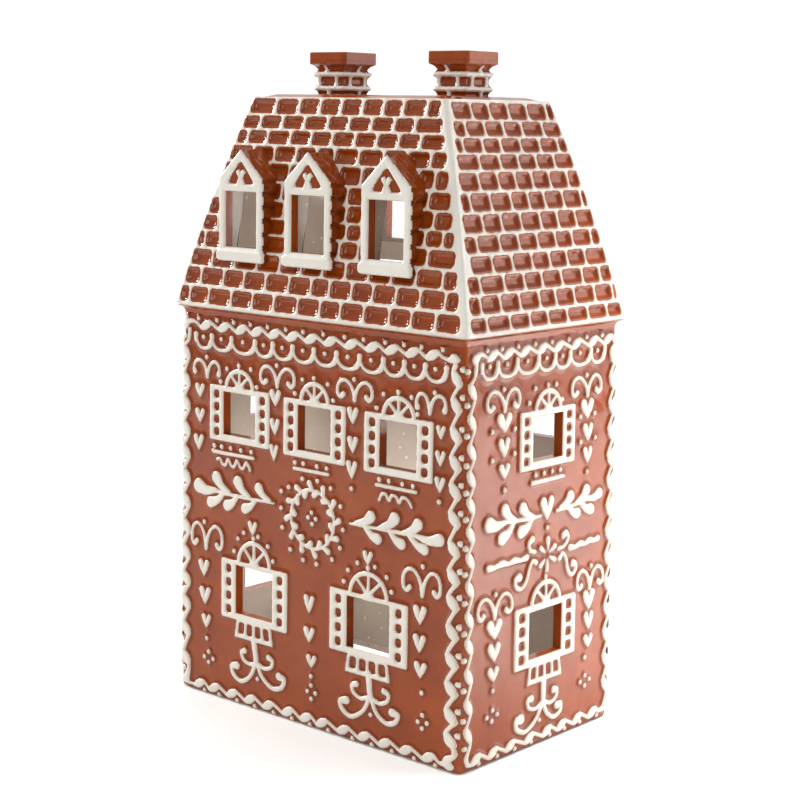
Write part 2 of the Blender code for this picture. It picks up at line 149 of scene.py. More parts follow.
def round_corner(u: np.ndarray, half: np.ndarray, out: np.ndarray, height: np.ndarray,
                 corner: float | np.ndarray = CORNER) -> tuple[np.ndarray, np.ndarray]:
    """Bend the ends of a side round its corners, as far as the corners' middles.

    Args:
        u: places along the side, measured round the corners.
        half: half the side's width.
        out: the side's distance from the house's middle.
        height: the relief on the side.
        corner: the corners' radius.

    Returns:
        Lengths along and out of the side.
    """
    flat = half - corner
    bend = np.clip((np.abs(u) - flat) / corner, 0, math.pi / 4)
    arm = corner + height
    along = np.sign(u) * (np.minimum(np.abs(u), flat) + arm * np.sin(bend))
    return along, out - corner + arm * np.cos(bend)


def roof_half(v: np.ndarray) -> tuple[np.ndarray, np.ndarray]:
    """Give half the roof's width and half its depth at heights v."""
    rise = np.clip((v - ROOF_FOOT) / (ROOF_TOP - ROOF_FOOT), 0, 1)
    wide, deep = (half + OVERHANG - inset[0] * rise - inset[1] * rise ** 2
                  for half, inset in ((HEAD_HALF, ROOF_INSET_X), (DEPTH_HALF, ROOF_INSET_Y)))
    return wide, deep


def linear(colour: str) -> tuple[float, float, float, float]:
    """Turn an sRGB hex colour into linear light.

    Args:
        colour: six hex digits after a #.

    Returns:
        Red, green, blue and an alpha of one.
    """
    channels = [int(colour[i:i + 2], 16) / 255 for i in (1, 3, 5)]
    light = [c / 12.92 if c <= 0.04045 else ((c + 0.055) / 1.055) ** 2.4 for c in channels]
    return (*light, 1.0)


def add_node(tree: bpy.types.NodeTree, kind: str, inputs: dict[Any, Any] | None = None,
             **settings: Any) -> bpy.types.Node:
    """Add one shader node with its settings and links.

    Args:
        tree: the node tree.
        kind: the node's type name.
        inputs: socket name or number to an output socket, which is linked, or to a value.
        settings: properties of the node.

    Returns:
        The new node.
    """
    node = tree.nodes.new(kind)
    for key, value in settings.items():
        setattr(node, key, value)
    for key, value in (inputs or {}).items():
        if isinstance(value, bpy.types.NodeSocket):
            tree.links.new(value, node.inputs[key])
        else:
            node.inputs[key].default_value = value
    return node


def ramp(tree: bpy.types.NodeTree, factor: bpy.types.NodeSocket, low: float,
         high: float) -> bpy.types.NodeSocket:
    """Stretch the span from low to high of a factor over 0 to 1.

    Args:
        tree: the node tree.
        factor: the socket that is stretched.
        low: what becomes 0.
        high: what becomes 1.

    Returns:
        The stretched socket, held between 0 and 1.
    """
    node = add_node(tree, "ShaderNodeMapRange", {"Value": factor, "From Min": low, "From Max": high})
    return node.outputs["Result"]


def blend(tree: bpy.types.NodeTree, factor: bpy.types.NodeSocket, first: Any,
          second: Any) -> bpy.types.NodeSocket:
    """Mix two colours by a factor.

    Args:
        tree: the node tree.
        factor: the share of the second colour.
        first: a colour or a socket.
        second: a colour or a socket.

    Returns:
        The mixed colour's socket.
    """
    node = add_node(tree, "ShaderNodeMix", {0: factor, 6: first, 7: second}, data_type="RGBA")
    return node.outputs[2]


@dataclass(frozen=True)
class Glaze:
    """A fired glaze: two tones in slow clouds, a tone where it pools that on the brown walls also paints
    shade, specks, and its gloss.
    """

    name: str
    light: str
    dark: str
    pool_and_shade_tone: str
    roughness: tuple[float, float]
    ior: float = 1.52
    cloud_mm: float = 26.0
    cloud_span: Point = (0.3, 0.7)
    streak_squeeze: float = 5.0
    streak_span: Point = (0.5, 1.1)
    gloss_span: Point = (0.35, 0.65)
    peel_mm: float = 2.6
    peel_depth_mm: float = 0.02
    swell_peels: float = 6.0
    swell_depth_mm: float = 0.05
    speck: str = ""
    speck_mm: float = 9.0
    speck_span: Point = (0.12, 0.09)

    def material(self) -> bpy.types.Material:
        """Build the material.

        Returns:
            A material that reads Object coordinates and the pool_and_shade attribute.
        """
        material = bpy.data.materials.new(self.name)
        material.use_nodes = True
        tree = material.node_tree
        shader = tree.nodes["Principled BSDF"]
        place = add_node(tree, "ShaderNodeTexCoord").outputs["Object"]
        clouds = self.noise(tree, place, self.cloud_mm, 4.0, 0.6)
        tree.links.new(self.colour(tree, place, clouds), shader.inputs["Base Color"])
        low, high = self.roughness
        gloss = add_node(tree, "ShaderNodeMapRange", {
            "Value": clouds, "From Min": self.gloss_span[0], "From Max": self.gloss_span[1],
            "To Min": low, "To Max": high})
        tree.links.new(gloss.outputs["Result"], shader.inputs["Roughness"])
        tree.links.new(self.skin(tree, place), shader.inputs["Normal"])
        shader.inputs["IOR"].default_value = self.ior
        return material

    def noise(self, tree: bpy.types.NodeTree, place: bpy.types.NodeSocket, size_mm: float,
              detail: float, roughness: float = 0.5) -> bpy.types.NodeSocket:
        """Add a noise with swells of a size."""
        node = add_node(tree, "ShaderNodeTexNoise", {
            "Vector": place, "Scale": 1 / (size_mm * MM), "Detail": detail, "Roughness": roughness})
        return node.outputs[0]

    def colour(self, tree: bpy.types.NodeTree, place: bpy.types.NodeSocket,
               clouds: bpy.types.NodeSocket) -> bpy.types.NodeSocket:
        """Lay the tones over each other.

        Args:
            tree: the material's node tree.
            place: the Object coordinates.
            clouds: the slow noise.

        Returns:
            The colour's socket.
        """
        squeezed = add_node(tree, "ShaderNodeMapping", {
            "Vector": place, "Scale": (1.0, 1.0, self.streak_squeeze)})
        streaks = self.noise(tree, squeezed.outputs[0], self.cloud_mm, 3.0)
        tone = blend(tree, ramp(tree, clouds, *self.cloud_span), linear(self.light), linear(self.dark))
        tone = blend(tree, ramp(tree, streaks, *self.streak_span), tone, linear(self.dark))
        # The pooled tone mixes in where glaze pools in hollows, and on the walls beside the icing it is
        # painted shade.
        pool_and_shade = add_node(tree, "ShaderNodeAttribute", attribute_name="pool_and_shade").outputs["Fac"]
        tone = blend(tree, pool_and_shade, tone, linear(self.pool_and_shade_tone))
        if self.speck:
            cells = add_node(tree, "ShaderNodeTexVoronoi", {
                "Vector": place, "Scale": 1 / (self.speck_mm * MM)})
            specks = ramp(tree, cells.outputs["Distance"], *self.speck_span)
            tone = blend(tree, specks, tone, linear(self.speck))
        return tone

    def skin(self, tree: bpy.types.NodeTree, place: bpy.types.NodeSocket) -> bpy.types.NodeSocket:
        """Add the orange peel and the broad swell of a poured surface.

        Args:
            tree: the material's node tree.
            place: the Object coordinates.

        Returns:
            The bent normal's socket.
        """
        normal = None
        for size, detail, depth in ((self.peel_mm, 2.0, self.peel_depth_mm),
                                    (self.swell_peels * self.peel_mm, 1.0, self.swell_depth_mm)):
            height = self.noise(tree, place, size, detail)
            bump = add_node(tree, "ShaderNodeBump", {
                "Height": height, "Strength": 1.0, "Distance": depth * MM})
            if normal:
                tree.links.new(normal, bump.inputs["Normal"])
            normal = bump.outputs[0]
        return normal


# Brown iron glaze, poured over cast red clay: a deep gloss that is darker where it pools; its dark tone also
# paints the shade at the foot of the wall icing
BROWN_GLAZE = Glaze("brown_iron_glaze_on_cast_earthenware", "#95420E", "#853608", "#5A230A",
                    (0.05, 0.1), ior=1.42, peel_depth_mm=0.012)
# White tin glaze, wiped over the raised icing: a soft satin white, warmer at its thin edges
WHITE_GLAZE = Glaze("white_tin_glaze_wiped_on_icing", "#DDD8CE", "#D3CDC2", "#C6B09C",
                    (0.28, 0.38), peel_mm=1.8, peel_depth_mm=0.015)
# Pale stone glaze, slushed round the inside: glossy grey beige with pinholes
INNER_GLAZE = Glaze("pale_stone_glaze_slushed_inside", "#BDB0A4", "#AFA296", "#AFA296",
                    (0.10, 0.2), speck="#D9D2C6")
# Bare red clay, sponged: the foot stays unglazed, dull and slightly dusty
BARE_CLAY = Glaze("bare_red_clay_sponged_foot", "#A9674A", "#98573C", "#98573C",
                  (0.75, 0.9), peel_mm=0.9, peel_depth_mm=0.05)


def spaced(knots: Iterable[float], cell: float) -> np.ndarray:
    """Space coordinates evenly so that every knot is one of them.

    Args:
        knots: places that must be met, the two ends among them.
        cell: the widest step.

    Returns:
        Rising coordinates.
    """
    knots = sorted(set(knots))
    runs = [np.linspace(a, b, max(1, math.ceil((b - a) / cell)), endpoint=False)
            for a, b in zip(knots, knots[1:])]
    return np.append(np.concatenate(runs), knots[-1])


def make_sheet(points: np.ndarray, keep: np.ndarray | None = None,
               pool_and_shade: np.ndarray | None = None) -> bmesh.types.BMesh:
    """Lay a grid of quads over an array of points.

    Args:
        points: places in metres, as rows by columns by 3.
        keep: for each face, whether it stays; without it all stay.
        pool_and_shade: for each point, the share of the darker pooled tone: glaze pooling, and beside the
            wall icing painted shade.

    Returns:
        The sheet, with its faces turned as rows and columns turn.
    """
    rows, columns = points.shape[:2]
    bm = bmesh.new()
    layer = bm.verts.layers.float.new("pool_and_shade")
    bmesh.ops.create_grid(bm, x_segments=columns - 1, y_segments=rows - 1, size=1)
    for vert, point in zip(bm.verts, points.reshape(-1, 3).tolist()):
        vert.co = point
    if pool_and_shade is not None:
        for vert, share in zip(bm.verts, pool_and_shade.ravel().tolist()):
            vert[layer] = share
    if keep is not None:
        spare = [face for face, kept in zip(bm.faces, keep.ravel().tolist()) if not kept]
        bmesh.ops.delete(bm, geom=spare, context="FACES")
    return bm


def make_box(half: Point, low: float, high: float) -> bmesh.types.BMesh:
    """Build a box over the origin.

    Args:
        half: half its width and depth.
        low: its foot.
        high: its head.

    Returns:
        The closed box.
    """
    bm = bmesh.new()
    bmesh.ops.create_cube(bm, size=2)
    for vert in bm.verts:
        x, y, z = vert.co
        vert.co = (x * half[0] * MM, y * half[1] * MM, (low if z < 0 else high) * MM)
    return bm


def thicken(bm: bmesh.types.BMesh, depth_mm: float) -> bmesh.types.BMesh:
    """Give a sheet a back and rims, and turn its faces outwards."""
    bmesh.ops.solidify(bm, geom=bm.faces, thickness=depth_mm * MM)
    bmesh.ops.recalc_face_normals(bm, faces=bm.faces)
    return bm


def all_corners(mask: np.ndarray) -> np.ndarray:
    """Tell for each face of a grid whether all four of its corners are marked."""
    return mask[:-1, :-1] & mask[1:, :-1] & mask[:-1, 1:] & mask[1:, 1:]


def any_corner(mask: np.ndarray) -> np.ndarray:
    """Tell for each face of a grid whether one of its corners is marked."""
    return mask[:-1, :-1] | mask[1:, :-1] | mask[:-1, 1:] | mask[1:, 1:]


def add_piece(name: str, bm: bmesh.types.BMesh, finish: bpy.types.Material, slot: Slot,
              crease: float = 50.0) -> bpy.types.Object:
    """Turn a bmesh into a finished piece of the lantern.

    Args:
        name: the piece's name.
        bm: its mesh, in place, in metres.
        finish: its material.
        slot: the record's slot that the finish stands for; not used.
        crease: edges that bend by more than these degrees stay sharp.

    Returns:
        The linked object, riding on the body.
    """
    mesh = bpy.data.meshes.new(name)
    bm.to_mesh(mesh)
    bm.free()
    mesh.shade_smooth()
    mesh.set_sharp_from_angle(angle=math.radians(crease))
    mesh.materials.append(finish)
    item = bpy.data.objects.new(name, mesh)
    bpy.context.scene.collection.objects.link(item)
    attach(item, BODY)
    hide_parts(NODE)
    LOG.info("%s: %d faces", name, len(mesh.polygons))
    return item


def flowing(stroke: Stroke, steps: int = 6) -> Stroke:
    """Round a stroke off with a curve through its points.

    Args:
        stroke: its points.
        steps: pieces between two points.

    Returns:
        The finer stroke.
    """
    points = np.array(stroke, float)
    if len(points) < 3:
        return stroke
    ends = np.vstack((2 * points[0] - points[1], points, 2 * points[-1] - points[-2]))
    curve = [points[0]]
    for a, b, c, d in zip(ends, ends[1:], ends[2:], ends[3:]):
        for t in np.arange(1, steps + 1) / steps:
            curve.append(0.5 * (2 * b + (c - a) * t + (2 * a - 5 * b + 4 * c - d) * t ** 2
                                + (3 * b - a - 3 * c + d) * t ** 3))
    return [tuple(p) for p in curve]


class Relief:
    """A drawing in raised icing, kept as the distance inside its outline at each grid point."""

    REACH = 5.0
    DROP = 1.25
    LOBES = ((-1, 0.225), (1, 0.195))
    STALK = 1.3

    def __init__(self, columns: np.ndarray, rows: np.ndarray) -> None:
        """Start a drawing without icing on a grid of columns and rows in the drawing's mm."""
        self.columns = columns
        self.rows = rows
        self.edge = np.full((rows.size, columns.size), -FAR)

    def block(self, low: Point, high: Point) -> tuple[tuple[slice, slice], np.ndarray, np.ndarray]:
        """Find the part of the grid in and close round a rectangle.

        Args:
            low: its lower left corner.
            high: its upper right corner.

        Returns:
            The slices of that part, and its coordinates across and up.
        """
        i = np.searchsorted(self.columns, (low[0] - self.REACH, high[0] + self.REACH))
        k = np.searchsorted(self.rows, (low[1] - self.REACH, high[1] + self.REACH))
        u, v = np.meshgrid(self.columns[i[0]:i[1]], self.rows[k[0]:k[1]])
        return (slice(k[0], k[1]), slice(i[0], i[1])), u, v

    def join(self, part: tuple[slice, slice], inside: np.ndarray) -> None:
        """Add a shape to the drawing by its inside distance on a part of the grid."""
        self.edge[part] = np.maximum(self.edge[part], inside)

    def stroke(self, stroke: Stroke) -> None:
        """Draw a straight-jointed line; each point gives u, v and the half width there.

        Args:
            stroke: its places, each with half its width there.
        """
        for (au, av, ar), (bu, bv, br) in zip(stroke, stroke[1:]):
            wide = max(ar, br)
            part, u, v = self.block((min(au, bu) - wide, min(av, bv) - wide),
                                    (max(au, bu) + wide, max(av, bv) + wide))
            run_u, run_v = bu - au, bv - av
            length = run_u ** 2 + run_v ** 2 + 1e-9
            t = np.clip(((u - au) * run_u + (v - av) * run_v) / length, 0, 1)
            away = np.hypot(u - au - t * run_u, v - av - t * run_v)
            self.join(part, ar + t * (br - ar) - away)

    def curve(self, stroke: Stroke) -> None:
        """Draw a line that flows through its points."""
        self.stroke(flowing(stroke))

    def dot(self, u: float, v: float, radius: float = DROP) -> None:
        """Draw one round drop."""
        self.stroke(((u, v, radius), (u, v + 0.1, radius)))

    def heart(self, middle: float, top: float, height: float, width: float) -> None:
        """Draw a heart that hangs from its top, as two strokes that meet at the tip.

        Args:
            middle: place of its middle.
            top: height of its lobes.
            height: its height.
            width: its width.
        """
        tip = (middle + 0.03 * width, top - height + 0.4, 0.4)
        for turn, lobe in self.LOBES:
            side = middle + turn * (0.5 - lobe) * width
            self.stroke(((side, top - lobe * width, lobe * width),
                         (middle + turn * 0.16 * width, top - 0.52 * height, 0.19 * width), tip))

    def leaf(self, root: Point, end: Point, width: float) -> None:
        """Draw a leaf that swells from its root to a round end.

        Args:
            root: where it leaves the stem.
            end: its tip.
            width: its width near the tip.
        """
        run = np.subtract(end, root)
        length = math.hypot(*run)
        run = run / length
        half = width / 2
        near = np.add(root, run * 0.45 * length)
        far = np.add(root, run * (length - half))
        aside = 0.07 * length * math.copysign(1.0, run[0]) * np.array((run[1], -run[0]))
        self.curve(((*root, self.STALK), (*(near + aside), 0.68 * half), (*far, half)))


def inside_box(u: np.ndarray, v: np.ndarray, middle: Point, half: Point, rounding: float) -> np.ndarray:
    """Measure the distance inside a rounded rectangle at points u, v.

    Args:
        u: places across.
        v: places up.
        middle: the rectangle's middle.
        half: half its width and height.
        rounding: its corners' radius.

    Returns:
        The distances, which are negative outside.
    """
    over_u = np.abs(u - middle[0]) - half[0] + rounding
    over_v = np.abs(v - middle[1]) - half[1] + rounding
    out = np.hypot(np.maximum(over_u, 0), np.maximum(over_v, 0))
    return rounding - out - np.minimum(np.maximum(over_u, over_v), 0)


@dataclass(frozen=True)
class Window:
    """A window: its opening, the margins of its frame, its fan arch and its planter."""

    left: float
    right: float
    foot: float
    head: float
    side: float
    below: float
    above: float
    arch: float
    planter: bool
    hole: Point = (2.1, 2.3)
    holes: int = 4
    hole_rounding: float = 1.5
    border: float = 1.5
    arch_line: float = 1.25
    spokes: Sequence[float] = (0.25 * math.pi, 0.5 * math.pi, 0.75 * math.pi)
    planter_height: float = 9.8
    planter_flare: float = 1.6
    slots: int = 4

    def holds(self, u: np.ndarray, v: np.ndarray) -> np.ndarray:
        """Tell whether points lie in the opening."""
        return (u > self.left) & (u < self.right) & (v > self.foot) & (v < self.head)

    def draw(self, relief: Relief) -> None:
        """Draw the frame with its pierced shutters, the arch and the planter.

        Args:
            relief: the relief that is drawn on.
        """
        middle = (self.left + self.right) / 2
        low, high = self.foot - self.below, self.head + self.above
        half = ((self.right - self.left) / 2 + self.side, (high - low) / 2)
        part, u, v = relief.block((middle - half[0], low), (middle + half[0], high))
        shape = inside_box(u, v, (middle, (low + high) / 2), half, 1.2)
        opening = ((self.right - self.left) / 2, (self.head - self.foot) / 2)
        cuts = [inside_box(u, v, (middle, (self.foot + self.head) / 2), opening, 0.3)]
        pitch = (high - low - 2 * self.border) / self.holes
        for turn in (-1, 1):
            for k in range(self.holes):
                place = (middle + turn * (opening[0] + self.side / 2), low + self.border + (k + 0.5) * pitch)
                cuts.append(inside_box(u, v, place, self.hole, self.hole_rounding))
        for cut in cuts:
            shape = np.minimum(shape, -cut)
        relief.join(part, shape)
        self.draw_arch(relief, middle, high)
        if self.planter:
            self.draw_planter(relief, middle, low)

    def draw_arch(self, relief: Relief, middle: float, foot: float) -> None:
        """Draw the fan light above the frame, with its spokes and the drop on top.

        Args:
            relief: the relief that is drawn on.
            middle: place of the window's middle.
            foot: height of the arch's foot.
        """
        reach = (self.right - self.left) / 2 - 0.8 - self.arch_line
        rise = self.arch - self.arch_line
        relief.stroke([(middle + reach * math.cos(a), foot - 0.6 + rise * math.sin(a), self.arch_line)
                       for a in np.linspace(0, math.pi, 17)])
        for a in self.spokes:
            relief.stroke(((middle, foot - 0.5, 1.6),
                           (middle + 0.4 * reach * math.cos(a), foot + 0.42 * rise * math.sin(a), 0.95),
                           (middle + reach * math.cos(a), foot + rise * math.sin(a), 0.9)))
        relief.stroke(((middle - 2.2, foot - 0.8, 2.0), (middle + 2.2, foot - 0.8, 2.0)))
        relief.dot(middle - 0.5, foot + self.arch + 1.0, 1.3)

    def draw_planter(self, relief: Relief, middle: float, head: float) -> None:
        """Draw the slatted box below the frame.

        Args:
            relief: the relief that is drawn on.
            middle: place of the window's middle.
            head: height of the planter's head.
        """
        height, flare = self.planter_height, self.planter_flare
        top_half = (self.right - self.left) / 2 - 0.8
        part, u, v = relief.block((middle - top_half - flare, head - height),
                                  (middle + top_half + flare, head))
        half = top_half + flare * (head - v) / height
        shape = np.minimum(np.minimum(half - np.abs(u - middle), v - head + height), head + 2 - v)
        across = (u - middle) * top_half / half
        pitch = 2 * (top_half - 1.0) / self.slots
        for k in range(self.slots):
            place = (-top_half + 1.0 + (k + 0.5) * pitch, head - height / 2 + 0.9)
            shape = np.minimum(shape, -inside_box(across, v, place, (pitch / 2 - 0.95, 3.2), 1.2))
        relief.join(part, shape)


@dataclass(frozen=True)
class Horns:
    """A ram's-horn scroll on a short stem.

    Its line is given as shares of the reach and the height, with the half width in mm.
    """

    middle: float
    left: float
    right: float
    top: float
    foot: float
    curled: bool = True
    line: Stroke = ((0, 0, 1.1), (0.05, 0.34, 1.2), (0.2, 0.70, 1.0), (0.42, 0.93, 0.95), (0.64, 0.97, 0.95),
                    (0.86, 0.82, 1.0), (0.96, 0.52, 1.05))
    curl: Stroke = ((0.92, 0.22, 1.1), (0.77, 0.10, 1.2), (0.63, 0.24, 1.5))
    hook: Stroke = ((0.90, 0.24, 1.7),)

    def draw(self, relief: Relief) -> None:
        """Draw the stem and both horns.

        Args:
            relief: the relief that is drawn on.
        """
        shape = (*self.line, *(self.curl if self.curled else self.hook))
        height = self.top - self.foot
        for reach in (self.left - self.middle, self.right - self.middle):
            relief.curve([(self.middle + a * reach, self.foot + b * height, r) for a, b, r in shape])


@dataclass(frozen=True)
class Wave:
    """A running border: fat slanted drops at given places, joined by a thin line."""

    centres: Sequence[float]
    across: float
    upright: bool
    start: Stroke
    end: Stroke
    drop: Stroke = ((-3.5, -1.75, 1.1), (-1.9, -0.95, 2.05), (0.0, 0.0, 2.5), (1.9, 0.95, 2.05),
                    (3.5, 1.7, 1.1))

    def draw(self, relief: Relief) -> None:
        """Draw the border from left to right, or from the top down.

        Args:
            relief: the relief that is drawn on.
        """
        path = list(self.start)
        for centre in self.centres:
            for along, off, half in self.drop:
                aside = self.across + off
                path.append((aside, centre - along, half) if self.upright else (centre + along, aside, half))
        relief.curve([*path, *self.end])


@dataclass(frozen=True)
class Wreath:
    """A ring of paired leaves: one leaf of each pair outside the ring, and one inside."""

    middle: Point
    radius: float
    pairs: int
    line: float = 0.85
    outer: float = 4.9
    inner: float = -3.7
    sweep: float = 3.4
    leaf: Point = (1.1, 1.75)

    def draw(self, relief: Relief) -> None:
        """Draw the ring and its leaves.

        Args:
            relief: the relief that is drawn on.
        """
        middle = np.array(self.middle)
        relief.stroke([(*(middle + self.radius * np.array((math.cos(a), math.sin(a)))), self.line)
                       for a in np.linspace(0, 2 * math.pi, 3 * self.pairs + 1)])
        for k in range(2 * self.pairs):
            angle = math.pi * k / self.pairs
            out = np.array((math.cos(angle), math.sin(angle)))
            root = middle + out * self.radius
            run = out * (self.inner if k % 2 else self.outer) + self.sweep * np.array((-out[1], out[0]))
            relief.stroke(((*root, self.leaf[0]), (*(root + 0.7 * run), self.leaf[1])))


@dataclass(frozen=True)
class Drawing:
    """Everything that is drawn in icing on one wall."""

    windows: Sequence[Window]
    hearts: Sequence[tuple[float, float, float, float]]
    sprigs: Sequence[tuple[Sequence[Point], Sequence[tuple[Point, Point, float]]]]
    horns: Sequence[Horns]
    waves: Sequence[Wave]
    posts: Sequence[float]
    drops: Sequence[Point]
    lines: Sequence[Stroke]
    wreaths: Sequence[Wreath] = ()
    swag_top: float = 204.5
    swag_foot: float = 195.4
    swag: Stroke = ((0.04, 4.6, 0.9), (0.13, 2.3, 0.9), (0.31, 0.6, 0.95), (0.55, 0.1, 0.95),
                    (0.76, 0.8, 1.1), (0.9, 2.4, 1.6), (0.97, 4.6, 1.5))

    def draw(self, relief: Relief) -> None:
        """Draw the whole wall.

        Args:
            relief: the relief that is drawn on.
        """
        for shape in (*self.windows, *self.horns, *self.waves, *self.wreaths):
            shape.draw(relief)
        for heart in self.hearts:
            relief.heart(*heart)
        for stem, leaves in self.sprigs:
            relief.curve([(u, v, 1.05 if k else 0.7) for k, (u, v) in enumerate(stem)])
            for leaf in leaves:
                relief.leaf(*leaf)
        self.draw_swags(relief)
        for u, v in self.drops:
            relief.dot(u, v)
        for line in self.lines:
            relief.curve(line)

    def draw_swags(self, relief: Relief) -> None:
        """Draw the looped line under the top border, whose loops swell towards their right end.

        Args:
            relief: the relief that is drawn on.
        """
        top, low = self.swag_top, self.swag_foot
        for u in self.posts:
            relief.stroke(((u, top - 1.7, 1.6), (u - 0.1, low + 4.2, 1.3)))
        for a, b in zip(self.posts, self.posts[1:]):
            relief.curve([(a + share * (b - a), low + up, half) for share, up, half in self.swag])
            relief.dot((a + b) / 2 - 0.3, top - 2.9, 1.2)


